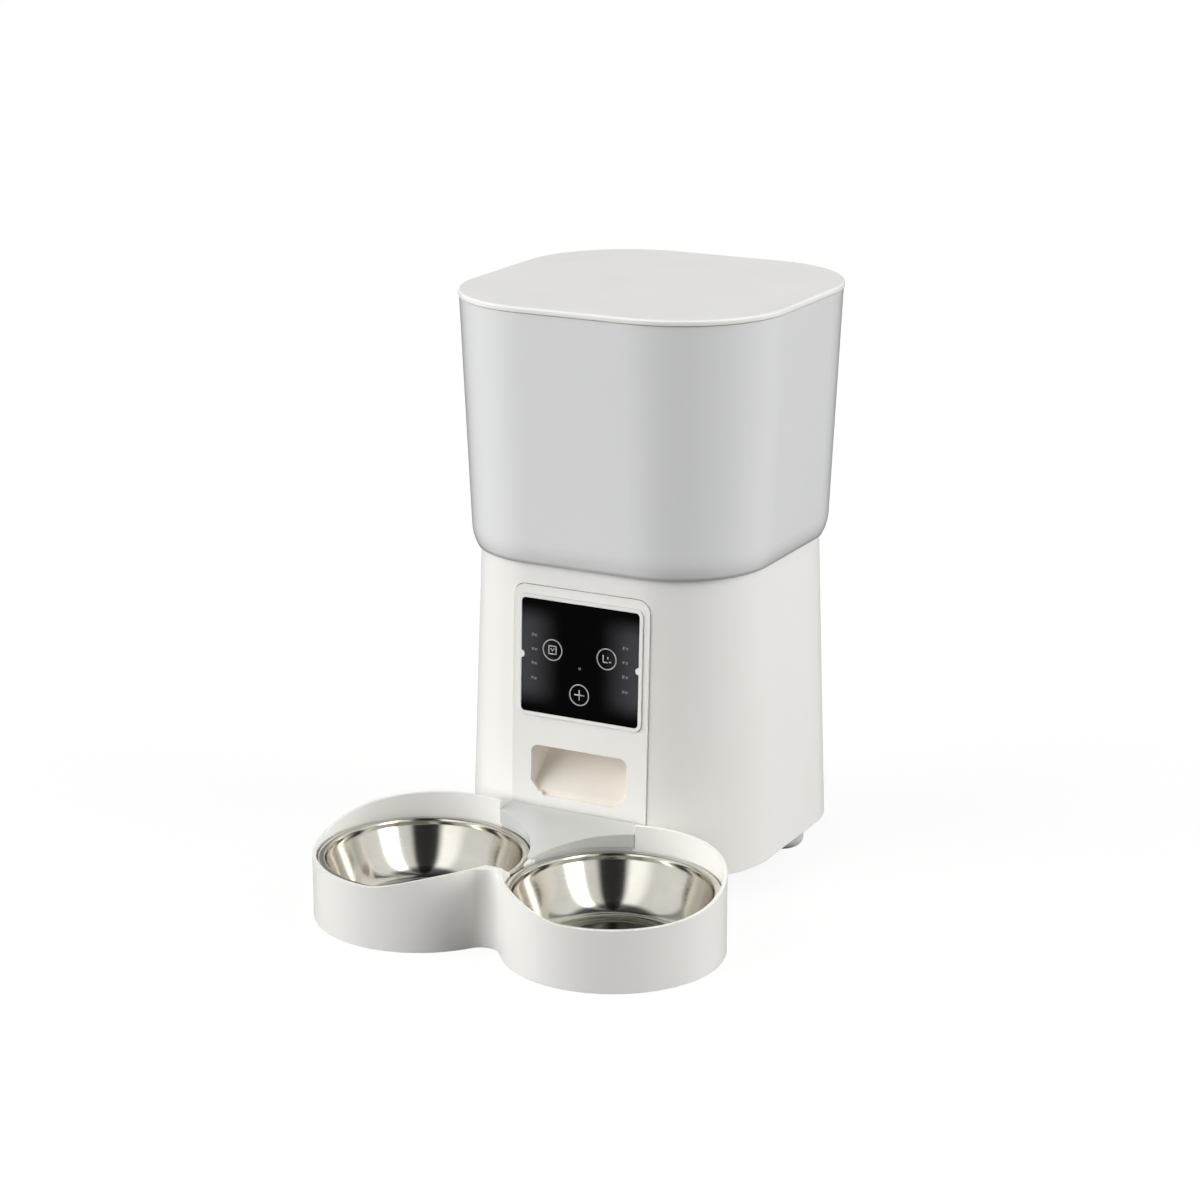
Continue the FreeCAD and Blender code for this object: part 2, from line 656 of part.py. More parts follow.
def gear_feature(label, shapes, x, y):
    """Return a sub-part for gears made in code, moved to its axle."""
    thing = doc.addObject("Part::Feature", label)
    thing.Label = label
    solid = shapes[0]
    for shape in shapes[1:]:
        solid = solid.fuse(shape)
    thing.Shape = solid.removeSplitter()
    thing.Placement.Base = Vector(x, value("axis_y") + y, 0)
    return thing


def gear_places():
    """Return the gear axles' places and the angles between them."""
    module, pinion = value("tooth_module"), value("pinion_teeth")
    long = module * (pinion + value("output_teeth")) / 2 + value("mesh_slack")
    short = module * (pinion + value("wheel_teeth")) / 2 + value("mesh_slack")
    angles = [math.radians(turn) for turn in (90, 45, 135)]
    places = [(0, 0)]
    for reach, angle in zip((long, short, short), angles):
        x, y = places[-1]
        places.append((x + reach * math.cos(angle), y + reach * math.sin(angle)))
    return places, angles


def make_gears():
    """Output gear, two compound gears and the motor's pinion, all in mesh."""
    places, angles = gear_places()
    pinion, wheel, output = (int(SIZES[name])
                             for name in ("pinion_teeth", "wheel_teeth", "output_teeth"))
    low, width, pitch = value("gear_low"), value("gear_width"), value("layer_pitch")
    bore = value("axle_radius + running")
    shaft = value("shaft_radius + running")
    levels = [low, low + pitch, low + 2 * pitch]
    second = meshed_phase(output, 0, pinion, angles[0])
    first = meshed_phase(wheel, 0, pinion, angles[1])
    motor = meshed_phase(wheel, 0, pinion, angles[2])
    tall = pitch + 1
    return [
        gear_feature("output_gear", [gear_shape(output, levels[2], width, shaft, 0)],
                     *places[0]),
        gear_feature("second_gear", [gear_shape(wheel, levels[1], width, bore, 0),
                                     gear_shape(pinion, levels[1] + width, tall, bore, second)],
                     *places[1]),
        gear_feature("first_gear", [gear_shape(wheel, levels[0], width, bore, 0),
                                    gear_shape(pinion, levels[0] + width, tall, bore, first)],
                     *places[2]),
        gear_feature("motor_pinion", [gear_shape(pinion, levels[0] - 1, width + 2,
                                                 value("spindle_radius"), motor)],
                     *places[3]),
    ]


def make_drive_shaft():
    """Output shaft with a hexagonal end that drives the rotor."""
    body = new_body("drive_shaft")
    pad(body, circle(body, "shaft_radius", "gear_floor"), "base_top_level - gear_floor")
    points = [(f"hex_radius * {round(math.cos(math.radians(60 * n)), 6)}",
               f"hex_radius * {round(math.sin(math.radians(60 * n)), 6)}") for n in range(6)]
    pad(body, polygon(body, "XY", points, "base_top_level"), "rotor_low - base_top_level + 15")
    return body


def gearbox_outline(body, shrink, level):
    """Sketch the gearbox's outline, shrunk all round."""
    return outline(body, f"gearbox_half_x - ({shrink})", f"gearbox_half_y - ({shrink})",
                   f"gearbox_wall + 4 - ({shrink})", level, "gearbox_x", "gearbox_y")


def bore_axles(body, low, length):
    """Cut the output shaft's bearing and the two axle holes through a gearbox wall."""
    places, _ = gear_places()
    pocket(body, circle(body, "shaft_radius + running", low), length)
    for x, y in places[1:3]:
        pocket(body, circle(body, "axle_radius", low, f"{x:.4f}", f"{y:.4f}"), length)


def make_gearbox_housing():
    """Open-topped gearbox with corner posts, bearing and axle holes and a motor hole."""
    body = new_body("gearbox_housing")
    places, _ = gear_places()
    rise = "gearbox_height - gearbox_wall"
    pad(body, gearbox_outline(body, "0", "gear_floor"), rise)
    pocket(body, gearbox_outline(body, "gearbox_wall", "gear_floor + gearbox_wall"), rise)
    for a, b in SIGNS:
        spot = (f"gearbox_x + {a} * gearbox_post_x", f"gearbox_y + {b} * gearbox_post_y")
        pad(body, circle(body, "screw_head", "gear_floor", *spot), rise)
        pocket(body, circle(body, "screw_radius + running", "gear_floor", *spot), rise)
    bore_axles(body, "gear_floor", "gearbox_wall")
    pocket(body, circle(body, "4 * spindle_radius", "gear_floor", *map(str, places[3])),
           "gearbox_wall")
    return body


def make_gearbox_cover():
    """Lid of the gearbox, which carries the tops of the shaft and axles."""
    body = new_body("gearbox_cover")
    low = "gearbox_top - gearbox_wall"
    pad(body, gearbox_outline(body, "0", low), "gearbox_wall")
    for a, b in SIGNS:
        spot = (f"gearbox_x + {a} * gearbox_post_x", f"gearbox_y + {b} * gearbox_post_y")
        pad(body, circle(body, "screw_head", low, *spot), f"deck_low - ({low})")
        pocket(body, circle(body, "screw_radius + running", low, *spot), f"deck_low - ({low})")
    bore_axles(body, low, "gearbox_wall")
    return body


def make_gear_axles():
    """Two fixed steel pins that the compound gears turn on."""
    places, _ = gear_places()
    return group("gear_axles", [
        cylinder(f"axle_{number}", "axle_radius", "gearbox_height", f"{x:.4f}", f"{y:.4f}",
                 "gear_floor") for number, (x, y) in enumerate(places[1:3])])


def make_motor():
    """Small motor under the gearbox with its boss and spindle."""
    places, _ = gear_places()
    x, y = (f"{number:.4f}" for number in places[3])
    can = cylinder("motor_can", "motor_radius", "motor_length", x, y, "gear_floor - motor_length")
    end = cylinder("motor_end", "motor_radius / 3", "3", x, y, "gear_floor - motor_length - 3")
    spindle = cylinder("motor_spindle", "spindle_radius", "gear_low + gear_width - gear_floor + 1",
                       x, y, "gear_floor")
    motor = fuse("motor", can, end, spindle)
    motor.Label = "motor"
    return motor


# ---------------------------------------------------------------- electronics and battery

def make_main_board():
    """Control board over the battery box, with its larger components."""
    level = "bay_top + bay_wall + 5"
    middle = "bay_front + bay_length / 2"
    plate = block("main_board_plate", "2 * bay_half - 4", "bay_length - 6", "board_wall",
                  "0", middle, level)
    holes = [cylinder(f"main_board_hole_{n}", "screw_radius + running", "board_wall",
                      f"{a} * (bay_half - 8)", f"{middle} + {b} * (bay_length / 2 - 8)", level)
             for n, (a, b) in enumerate(SIGNS)]
    board = cut("main_board_drilled", plate, fuse("main_board_holes", *holes))
    top = f"{level} + board_wall"
    parts = [board, block("chip", "14", "14", "1.6", "-10", middle, top),
             block("relay", "18", "12", "10", "28", f"{middle} + 18", top),
             block("connector", "20", "6", "8", "-25", f"{middle} + 24", top),
             cylinder("capacitor_a", "4", "12", "-34", f"{middle} - 8", top),
             cylinder("capacitor_b", "4", "12", "-24", f"{middle} - 14", top)]
    return group("main_board", parts)


def make_battery_box():
    """Box for the three backup cells, open below, with posts for the control board."""
    body = new_body("battery_box")
    middle = "bay_front + bay_length / 2"
    pad(body, rectangle(body, "XY", "-bay_half - bay_wall", "bay_half + bay_wall",
                        "bay_front - bay_wall", "bay_front + bay_length + bay_wall", "plate_top"),
        "bay_top + bay_wall - plate_top")
    pocket(body, rectangle(body, "XY", "-bay_half", "bay_half", "bay_front",
                           "bay_front + bay_length", "plate_top"), "bay_top - plate_top")
    for a, b in SIGNS:
        pad(body, circle(body, "screw_head", "bay_top + bay_wall", f"{a} * (bay_half - 8)",
                         f"{middle} + {b} * (bay_length / 2 - 8)"), "5")
        pocket(body, circle(body, "screw_radius", "bay_top + bay_wall", f"{a} * (bay_half - 8)",
                            f"{middle} + {b} * (bay_length / 2 - 8)"), "5")
    return body


CELLS = (-1, 0, 1)


def make_battery_cells():
    """Three backup cells lying side by side, each with its raised terminal."""
    turn = Rotation(Vector(1, 0, 0), -90)
    cells = []
    for column in CELLS:
        x = f"{column} * (cell_diameter + cell_gap)"
        y = "bay_front + spring_room"
        can = cylinder(f"cell_can_{column + 1}", "cell_diameter / 2", "cell_length - 1.5", x, y,
                       "cell_level", turn)
        tip = cylinder(f"cell_tip_{column + 1}", "4.5", "cell_length", x, y, "cell_level", turn)
        cells.append(fuse(f"cell_{column + 1}", can, tip))
    return group("battery_cells", cells)


def make_battery_contacts():
    """A conical spring and a flat tab for each cell."""
    turn = Rotation(Vector(1, 0, 0), -90)
    contacts = []
    for column in CELLS:
        x = f"{column} * (cell_diameter + cell_gap)"
        spring = doc.addObject("Part::Cone", f"contact_spring_{column + 1}")
        spring.Placement.Rotation = turn
        bind(spring, Radius1="8", Radius2="4", Height="spring_room", Placement__Base__x=x,
             Placement__Base__y="axis_y + bay_front", Placement__Base__z="cell_level")
        contacts.append(spring)
        contacts.append(block(f"contact_tab_{column + 1}", "14", "tab_room", "16", x,
                              "bay_front + bay_length - tab_room / 2", "cell_level - 8"))
    return group("battery_contacts", contacts)


def make_battery_cover():
    """Cover that pulls down out of the housing's floor, with a finger slot."""
    body = new_body("battery_cover")
    side = "bay_half + bay_wall - seam"
    pad(body, rectangle(body, "XY", f"-({side})", side, "bay_front - bay_wall + seam",
                        "bay_front + bay_length + bay_wall - seam", "base_bottom_level"),
        "plate_wall - seam")
    pocket(body, rectangle(body, "XY", "-9", "9", "bay_front + 2", "bay_front + 8",
                           "base_bottom_level"), "plate_wall / 2")
    return body


def make_speaker():
    """Loudspeaker over the slots in the floor."""
    rim = cylinder("speaker_rim", "speaker_radius", "4", "speaker_x", "speaker_y", "plate_top")
    magnet = cylinder("speaker_magnet", "speaker_radius / 2", "speaker_height", "speaker_x",
                      "speaker_y", "plate_top")
    speaker = fuse("speaker", rim, magnet)
    speaker.Label = "speaker"
    return speaker


def make_power_socket():
    """Barrel socket in the rear wall, with its centre pin."""
    body = new_body("power_socket")
    wall = "base_bottom_half - (socket_level - base_bottom_level) * base_slope"
    inner = f"{wall} - base_wall - 0.4"
    pad(body, rectangle(body, "XZ", "-5.5", "5.5", "socket_level - 5.5", "socket_level + 5.5",
                        f"-({inner})"), "13")
    pad(body, circle(body, "socket_bore + seam + 0.5", f"-({wall})", "0", "socket_level", "XZ"),
        "base_wall + 1")
    pocket(body, circle(body, "socket_bore", f"-({wall}) - 1", "0", "socket_level", "XZ"), "12")
    pad(body, circle(body, "1", f"-({wall}) + 1.5", "0", "socket_level", "XZ"), "11")
    return body


def make_screws():
    """The screws, grouped by what they hold."""
    base = [screw(f"base_screw_{n}", "plate_wall + boss_height / 2 - 1", f"{a} * boss_place",
                  f"{b} * boss_place", "base_bottom_level") for n, (a, b) in enumerate(SIGNS)]
    gearbox = [screw(f"gearbox_screw_{n}", "deck_low - gear_floor + 1",
                     f"gearbox_x + {a} * gearbox_post_x", f"gearbox_y + {b} * gearbox_post_y",
                     "gear_floor") for n, (a, b) in enumerate(SIGNS)]
    middle = "bay_front + bay_length / 2"
    flip = Rotation(Vector(1, 0, 0), 180)
    board = [screw(f"board_screw_{n}", "5", f"{a} * (bay_half - 8)",
                   f"{middle} + {b} * (bay_length / 2 - 8)", "bay_top + bay_wall + 5 + board_wall",
                   flip) for n, (a, b) in enumerate(SIGNS)]
    return [group("base_screws", base), group("gearbox_screws", gearbox),
            group("board_screws", board)]


# ---------------------------------------------------------------- hopper and rotor

def hopper_half(level):
    """Return the hopper's outer half-width at a height."""
    return f"(hopper_top_half - (hopper_top - ({level})) * hopper_slope)"


def hopper_outline(body, shrink, level):
    """Sketch the hopper's outline at a height, shrunk all round."""
    half = f"{hopper_half(level)} - ({shrink})"
    return outline(body, half, half, f"{half} - corner_inset", level)


def hopper_solid(label, shrink, floor, rise):
    """Return a solid of the hopper's form, shrunk all round and cut off at its floor."""
    body = new_body(label)
    low = f"curl_low + {shrink}"
    pad(body, hopper_outline(body, shrink, low), f"hopper_top + {rise} - ({low})", "hopper_slope")
    fillet(body, f"hopper_curl - {shrink}", at_level(low))
    pocket(body, rectangle(body, "XY", "-lid_half", "lid_half", "-lid_half", "lid_half", low),
           f"{floor} - ({low})")
    return body


def make_hopper():
    """Frosted food tank, curled in at the bottom, with the outlet in its floor."""
    outlet = block("hopper_outlet", "2 * drop_half", "drop_front - drop_back", "3 * hopper_wall",
                   "0", "-(drop_front + drop_back) / 2", "hopper_low - hopper_wall")
    bearing = cylinder("hopper_bearing", "spigot_radius", "3 * hopper_wall", "0", "0",
                       "hopper_low - hopper_wall")
    inside = hopper_solid("hopper_inside", "hopper_wall", "hopper_floor", "1")
    hopper = cut("hopper", hopper_solid("hopper_outside", "0", "hopper_low", "0"),
                 fuse("hopper_room", inside, outlet, bearing))
    hopper.Label = "hopper"
    return hopper


def make_hopper_seal():
    """Thin foam ring under the hopper that sits on the deck round the outlet."""
    body = new_body("hopper_seal")
    pad(body, rectangle(body, "XY", "-drop_half - 3", "drop_half + 3", "-drop_front - 3",
                        "-drop_back + 3", "base_top_level"), "shadow_gap")
    pocket(body, rectangle(body, "XY", "-drop_half", "drop_half", "-drop_front", "-drop_back",
                           "base_top_level"), "shadow_gap")
    return body


def make_hopper_funnel():
    """Liner that leads food from the square hopper into the round rotor cup."""
    body = new_body("hopper_funnel")
    top = "funnel_top_level"
    half = f"{hopper_half(top)} - hopper_wall - shadow_gap"
    cup = "cup_inner + funnel_wall"
    low = outline(body, cup, cup, f"{cup} - 0.1", "cup_top_level")
    high = outline(body, half, half, f"{half} - corner_inset", top)
    solid = body.newObject("PartDesign::AdditiveLoft", "funnel_outside")
    solid.Profile = low
    solid.Sections = [high]
    solid.Ruled = True
    doc.recompute()
    low = outline(body, "cup_inner", "cup_inner", "cup_inner - 0.1", "cup_top_level")
    high = outline(body, f"{half} - funnel_wall", f"{half} - funnel_wall",
                   f"{half} - corner_inset - funnel_wall", top)
    inside = body.newObject("PartDesign::SubtractiveLoft", "funnel_inside")
    inside.Profile = low
    inside.Sections = [high]
    inside.Ruled = True
    doc.recompute()
    pad(body, circle(body, cup, "rotor_low"), "cup_top_level - rotor_low")
    pocket(body, circle(body, "cup_inner", "rotor_low"), "cup_top_level - rotor_low")
    return body


def make_food_baffle():
    """Soft plate over the outlet that stops food running straight through."""
    body = new_body("food_baffle")
    pad(body, circle(body, "cup_inner - seam", "baffle_level"), "baffle_wall")
    pocket(body, rectangle(body, "XY", "-lid_half", "lid_half", "-drop_back + 4", "lid_half",
                           "baffle_level"), "baffle_wall")
    for a in (-1, 1):
        pocket(body, rectangle(body, "XY", f"{a} * (drop_half + 4) + ({a} - 1) * 30",
                               f"{a} * (drop_half + 4) + ({a} + 1) * 30", "-lid_half",
                               "lid_half", "baffle_level"), "baffle_wall")
    return body


def make_dispensing_rotor():
    """Rotor with a hub, blades and a hexagonal socket for the drive shaft."""
    body = new_body("dispensing_rotor")
    pad(body, circle(body, "hub_radius", "rotor_low"), "rotor_height")
    for blade in range(SIZES["rotor_blades"] // 2):
        turn = math.pi * (blade + 0.5) / (SIZES["rotor_blades"] // 2)
        along = (round(math.cos(turn), 6), round(math.sin(turn), 6))
        ends = [(f"{a} * rotor_radius * {along[0]} - {b} * blade_wall / 2 * {along[1]}",
                 f"{a} * rotor_radius * {along[1]} + {b} * blade_wall / 2 * {along[0]}")
                for a, b in ((-1, -1), (1, -1), (1, 1), (-1, 1))]
        pad(body, polygon(body, "XY", ends, "rotor_low"), "rotor_height")
    pad(body, circle(body, "spigot_radius - running", "hopper_low"), "rotor_low - hopper_low")
    points = [(f"(hex_radius + seam) * {round(math.cos(math.radians(60 * n)), 6)}",
               f"(hex_radius + seam) * {round(math.sin(math.radians(60 * n)), 6)}")
              for n in range(6)]
    pocket(body, polygon(body, "XY", points, "hopper_low"), "rotor_low - hopper_low + 16")
    return body


def make_stirrer():
    """Arms on top of the rotor that keep the food moving."""
    body = new_body("stirrer")
    pad(body, circle(body, "hub_radius - 2", "rotor_top"), "14")
    pad(body, rectangle(body, "XY", "-stirrer_reach", "stirrer_reach", "-stirrer_bar / 2",
                        "stirrer_bar / 2", "rotor_top + 8"), "stirrer_bar")
    return body


# ---------------------------------------------------------------- lid

def lid_outline(body, shrink, level):
    """Sketch the lid's outline, shrunk all round."""
    return outline(body, f"lid_half - ({shrink})", f"lid_half - ({shrink})",
                   f"lid_corner - ({shrink})", level)


SKIRT = "lid_half - hopper_top_half + hopper_wall + 1.6"


def make_lid():
    """Flat lid with a skirt that fits inside the hopper's mouth, grooved for its seal."""
    body = new_body("lid")
    pad(body, lid_outline(body, "0", "lid_low"), "lid_band")
    fillet(body, "lid_edge", at_level("total_height"))
    third = "skirt_depth / 3"
    pad(body, lid_outline(body, SKIRT, f"lid_low - {third}"), third)
    pad(body, lid_outline(body, f"{SKIRT} + seal_bite", f"lid_low - 2 * {third}"), third)
    pad(body, lid_outline(body, SKIRT, "lid_low - skirt_depth"), third)
    pocket(body, lid_outline(body, f"{SKIRT} + skirt_wall", "lid_low - skirt_depth"),
           "skirt_depth")
    return body


def make_lid_seal():
    """Silicone ring in the skirt's groove."""
    body = new_body("lid_seal")
    low = "lid_low - 2 * skirt_depth / 3"
    pad(body, lid_outline(body, f"{SKIRT} - seal_reach", low), "skirt_depth / 3")
    pocket(body, lid_outline(body, f"{SKIRT} + seal_bite", low), "skirt_depth / 3")
    return body


def make_drier_cup():
    """Cup under the lid that holds the drying bag."""
    body = new_body("drier_cup")
    pad(body, circle(body, "drier_radius", "lid_low - drier_depth"), "drier_depth")
    pocket(body, circle(body, "drier_radius - drier_wall", "lid_low - drier_depth"),
           "drier_depth - drier_wall")
    return body


def make_drier_cap():
    """Slotted cap that twists into the mouth of the drier cup."""
    body = new_body("drier_cap")
    rim = "lid_low - drier_depth - seam"
    pad(body, circle(body, "drier_radius", f"{rim} - 2"), "2")
    pad(body, circle(body, "drier_radius - drier_wall - running", rim), "4")
    pocket(body, circle(body, "drier_radius - 2 * drier_wall", rim), "4")
    for slot in range(-2, 3):
        pocket(body, rectangle(body, "XY", "-20", "20", f"{slot} * 8 - 1.5", f"{slot} * 8 + 1.5",
                               f"{rim} - 2"), "2")
    return body


def make_drying_bag():
    """Flat round bag of drying granules inside the cup."""
    bag = cylinder("drying_bag", "drier_radius - drier_wall - 1", "12", "0", "0",
                   "lid_low - drier_wall - seam - 12")
    bag.Label = "drying_bag"
    return bag


# ---------------------------------------------------------------- tray and bowls

def ring_walls(body, radius, level, height, cutting=False):
    """Add or cut the two round cups that hold the bowls."""
    for a in (-1, 1):
        sketch = circle(body, radius, level, f"{a} * bowl_spacing", "-bowl_reach")
        (pocket if cutting else pad)(body, sketch, height)


def make_tray_blank():
    """Figure-of-eight tray with walls of full height, before its rim is shaped."""
    body = new_body("tray_blank")
    ring_walls(body, "tray_outer", "0", "tray_back")
    pad(body, rectangle(body, "XY", "-panel_half", "panel_half", "-bowl_reach",
                        "-tray_rear", "0"), "tray_front")
    pocket(body, rectangle(body, "XY", "-panel_half + tray_wall", "panel_half - tray_wall",
                           "-guide_tip_reach + 18", "-tray_rear - tray_wall", "tray_floor"),
           "tray_front")
    reach = "sqrt((tray_outer + tray_valley)^2 - bowl_spacing^2)"
    share = "tray_outer / (tray_outer + tray_valley)"
    pad(body, rectangle(body, "XY", f"-bowl_spacing * (1 - {share})", f"bowl_spacing * (1 - {share})",
                        f"-bowl_reach - {reach} * {share}", "-bowl_reach", "0"), "tray_back")
    pocket(body, circle(body, "tray_valley", "0", "0", f"-bowl_reach - {reach}"), "tray_back")
    ring_walls(body, "tray_inner", "tray_floor", "tray_back", cutting=True)
    pad(body, rectangle(body, "XY", "-tongue_half", "tongue_half", "-tray_rear - tray_wall",
                        "-tray_rear + tongue_reach", "tongue_low"), "tongue_high - tongue_low")
    return body


def above(curve, plane, start, reach):
    """Return the space above a curve, swept from start along the plane's normal."""
    first, last = curve.value(curve.FirstParameter), curve.value(curve.LastParameter)
    high = Vector(0, 0, value("tray_back") + 10 - first.z)
    far = Vector(0, 0, value("tray_back") + 10 - last.z)
    sides = [Part.LineSegment(last, last + far), Part.LineSegment(last + far, first + high),
             Part.LineSegment(first + high, first)]
    face = Part.Face(Part.Wire([curve.toShape()] + [side.toShape() for side in sides]))
    axis = Vector(1, 0, 0) if plane == "YZ" else Vector(0, 1, 0)
    face.translate(axis * start)
    return face.extrude(axis * reach)


def make_rim_cutter():
    """Space above the tray's waved rim: low in front, a crest between the bowls, high behind."""
    v = value
    mid, front, back = -v("bowl_reach"), -v("bowl_reach + tray_outer"), -v("bowl_reach - tray_outer")
    low, high, peak = v("tray_front"), v("tray_back"), v("tray_peak")
    span, wide = v("bowl_spacing"), v("bowl_spacing + tray_outer + 5")
    side = Part.BezierCurve()
    side.setPoles([Vector(0, front - 1, low), Vector(0, front + 75, low - 1),
                   Vector(0, back - 60, high - 4), Vector(0, back + 1, high)])
    wave = Part.BezierCurve()
    wave.setPoles([Vector(-span, front - 1, low), Vector(-0.8 * span, front - 1, low),
                   Vector(-0.46 * span, front - 1, peak), Vector(0, front - 1, peak)])
    slope = Part.BezierCurve()
    slope.setPoles([Vector(0, mid - 30, peak + 1), Vector(0, mid - 20, peak - 4),
                    Vector(0, mid - 12, low + 1), Vector(0, mid - 6, low)])
    flat = Part.LineSegment(Vector(0, mid - 6, low), Vector(0, back + 12, low))
    inner = v("panel_half")
    pieces = [above(side, "YZ", span, wide - span), above(wave, "XZ", 0, mid - front + 1),
              above(slope, "YZ", -14, 28), above(flat, "YZ", -inner, 2 * inner)]
    rear = above(side, "YZ", inner, span - inner)
    rear = rear.common(Part.makeBox(wide, 200, 200, Vector(0, mid, 0)))
    pieces.append(rear)
    cutter = pieces[0]
    for piece in pieces[1:]:
        cutter = cutter.fuse(piece)
    cutter = cutter.fuse(cutter.mirror(Vector(0, 0, 0), Vector(1, 0, 0)))
    thing = doc.addObject("Part::Feature", "rim_cutter")
    thing.Shape = cutter
    thing.Placement.Base = Vector(0, v("axis_y"), 0)
    return thing


def make_bowl_tray():
    """The finished tray."""
    tray = cut("bowl_tray", make_tray_blank(), make_rim_cutter())
    tray.Label = "bowl_tray"
    return tray


def make_food_guide():
    """Sloping guide from the front panel down between the two bowls."""
    body = new_body("food_guide")
    back = "-tray_rear - seam"
    points = [(back, "guide_low"), (back, "guide_top"), ("-guide_tip_reach", "guide_tip"),
              ("-guide_tip_reach", "guide_low")]
    pad(body, polygon(body, "YZ", points), "2 * (panel_half - seam)", both_ways=True)
    ring_walls(body, "bowl_rim + seam", "guide_low - 1", "20", cutting=True)
    return body


def bowl_solid(label, side, shrink, rise):
    """Return a solid of a bowl's form, shrunk all round."""
    body = new_body(label)
    bind(body, Placement__Base__x=f"{side} * bowl_spacing",
         Placement__Base__y="axis_y - bowl_reach")
    low = f"tray_floor + seam + {shrink}"
    mouth = f"bowl_rim - bowl_lip - {shrink}"
    revolve(body, [("0", low), (f"bowl_foot - {shrink}", low), (mouth, "bowl_rim_level"),
                   (mouth, f"bowl_rim_level + {rise}"), ("0", f"bowl_rim_level + {rise}")])
    fillet(body, f"bowl_curl - {shrink}", at_level(low))
    return body


def make_bowl(side, label):
    """One steel bowl with a rolled lip."""
    outside = bowl_solid(f"{label}_outside", side, "0", "0.001")
    low = "bowl_rim_level - bowl_gauge - 0.6"
    pad(outside, circle(outside, "bowl_rim", low), "bowl_gauge + 0.6")
    bowl = cut(label, outside, bowl_solid(f"{label}_inside", side, "bowl_gauge", "1"))
    bowl.Label = label
    return bowl


# ---------------------------------------------------------------- build and write

SIMPLE = (make_base_shell, make_bottom_plate, make_rear_cover, make_rubber_feet,
          make_front_panel, make_panel_bezel, make_panel_lens, make_touch_board,
          make_touch_springs, make_indicator_lamps, make_chute, make_food_sensors,
          make_drive_shaft, make_gearbox_housing, make_gearbox_cover, make_gear_axles,
          make_motor, make_main_board, make_battery_box, make_battery_cells,
          make_battery_contacts, make_battery_cover, make_speaker, make_power_socket,
          make_hopper, make_hopper_seal, make_hopper_funnel, make_food_baffle,
          make_dispensing_rotor, make_stirrer, make_lid, make_lid_seal, make_drier_cup,
          make_drier_cap, make_drying_bag, make_bowl_tray, make_food_guide)

nodes = [make() for make in SIMPLE] + make_gears() + make_screws()
nodes += [make_bowl(-1, "bowl_left"), make_bowl(1, "bowl_right")]
doc.recompute()

for thing in doc.Objects:
    if {"Invalid", "Error"} & set(thing.State):
        raise ValueError(f"{thing.Name} failed: {thing.State}")
for node in nodes:
    if node.Shape.isNull() or not node.Shape.isValid():
        raise ValueError(f"{node.Label} has no valid shape")

os.makedirs("parts", exist_ok=True)
for node in nodes:
    node.Shape.exportStep(f"parts/{node.Label}.step")
print(len(nodes), "sub-parts written")
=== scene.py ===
"""Looks of an automatic pet feeder with two bowls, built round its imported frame.

Metres, +Z up, the front faces -Y. The white housing, its leaning panel and the tray are moulded
plastic, the food hopper is frosted, and the two bowls are spun from polished steel.
"""
import logging
import math
from contextlib import contextmanager
from dataclasses import dataclass, field
from enum import Enum
from typing import Iterator

import bpy
from mathutils import Matrix, Vector


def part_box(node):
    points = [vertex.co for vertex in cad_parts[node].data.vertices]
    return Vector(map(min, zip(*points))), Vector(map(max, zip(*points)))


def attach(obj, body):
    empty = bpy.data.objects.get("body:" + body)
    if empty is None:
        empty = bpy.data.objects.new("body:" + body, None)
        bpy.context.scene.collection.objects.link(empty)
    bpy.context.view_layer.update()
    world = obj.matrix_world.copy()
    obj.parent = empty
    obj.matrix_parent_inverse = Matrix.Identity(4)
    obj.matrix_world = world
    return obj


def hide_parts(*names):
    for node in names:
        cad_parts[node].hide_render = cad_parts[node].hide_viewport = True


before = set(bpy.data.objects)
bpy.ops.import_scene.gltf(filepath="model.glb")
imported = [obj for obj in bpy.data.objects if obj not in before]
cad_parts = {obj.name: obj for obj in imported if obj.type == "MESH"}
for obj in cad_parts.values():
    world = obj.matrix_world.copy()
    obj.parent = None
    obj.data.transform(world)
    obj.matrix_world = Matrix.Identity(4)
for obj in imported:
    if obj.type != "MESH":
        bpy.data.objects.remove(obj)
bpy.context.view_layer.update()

MM = 0.001
LOG = logging.getLogger("pet_feeder")


# ------------------------------------------------------------------ small tools

def linear(code: str) -> tuple[float, float, float, float]:
    """Turn an sRGB hex colour into Blender's linear colour.

    Args:
        code: A colour such as "#F2F1EC".

    Returns:
        Red, green, blue and alpha, linear.
    """
    parts = [int(code[place:place + 2], 16) / 255 for place in (1, 3, 5)]
    light = [part / 12.92 if part <= 0.04045 else ((part + 0.055) / 1.055) ** 2.4 for part in parts]
    return (*light, 1.0)


def add_node(tree: bpy.types.NodeTree, kind: str, inputs: dict | None = None,
             **settings: object) -> bpy.types.Node:
    """Add one node with its settings, values and links.

    Args:
        tree: The node tree that gets the node.
        kind: Blender's name of the node's type.
        inputs: What goes into its sockets, by name or number: a value, or a socket to link.
        settings: Properties of the node itself.

    Returns:
        The new node.
    """
    node = tree.nodes.new(kind)
    for name, setting in settings.items():
        setattr(node, name, setting)
    for key, given in (inputs or {}).items():
        if isinstance(given, bpy.types.NodeSocket):
            tree.links.new(given, node.inputs[key])
        else:
            node.inputs[key].default_value = given
    return node


def scale_for(size_mm: float) -> float:
    """Return the noise scale whose features are that many millimetres across."""
    return 1000 / size_mm


def deselect() -> None:
    """Deselect every object."""
    bpy.ops.object.select_all(action="DESELECT")


def activate(thing: bpy.types.Object) -> None:
    """Make one object the only selected and active one."""
    deselect()
    thing.select_set(True)
    bpy.context.view_layer.objects.active = thing


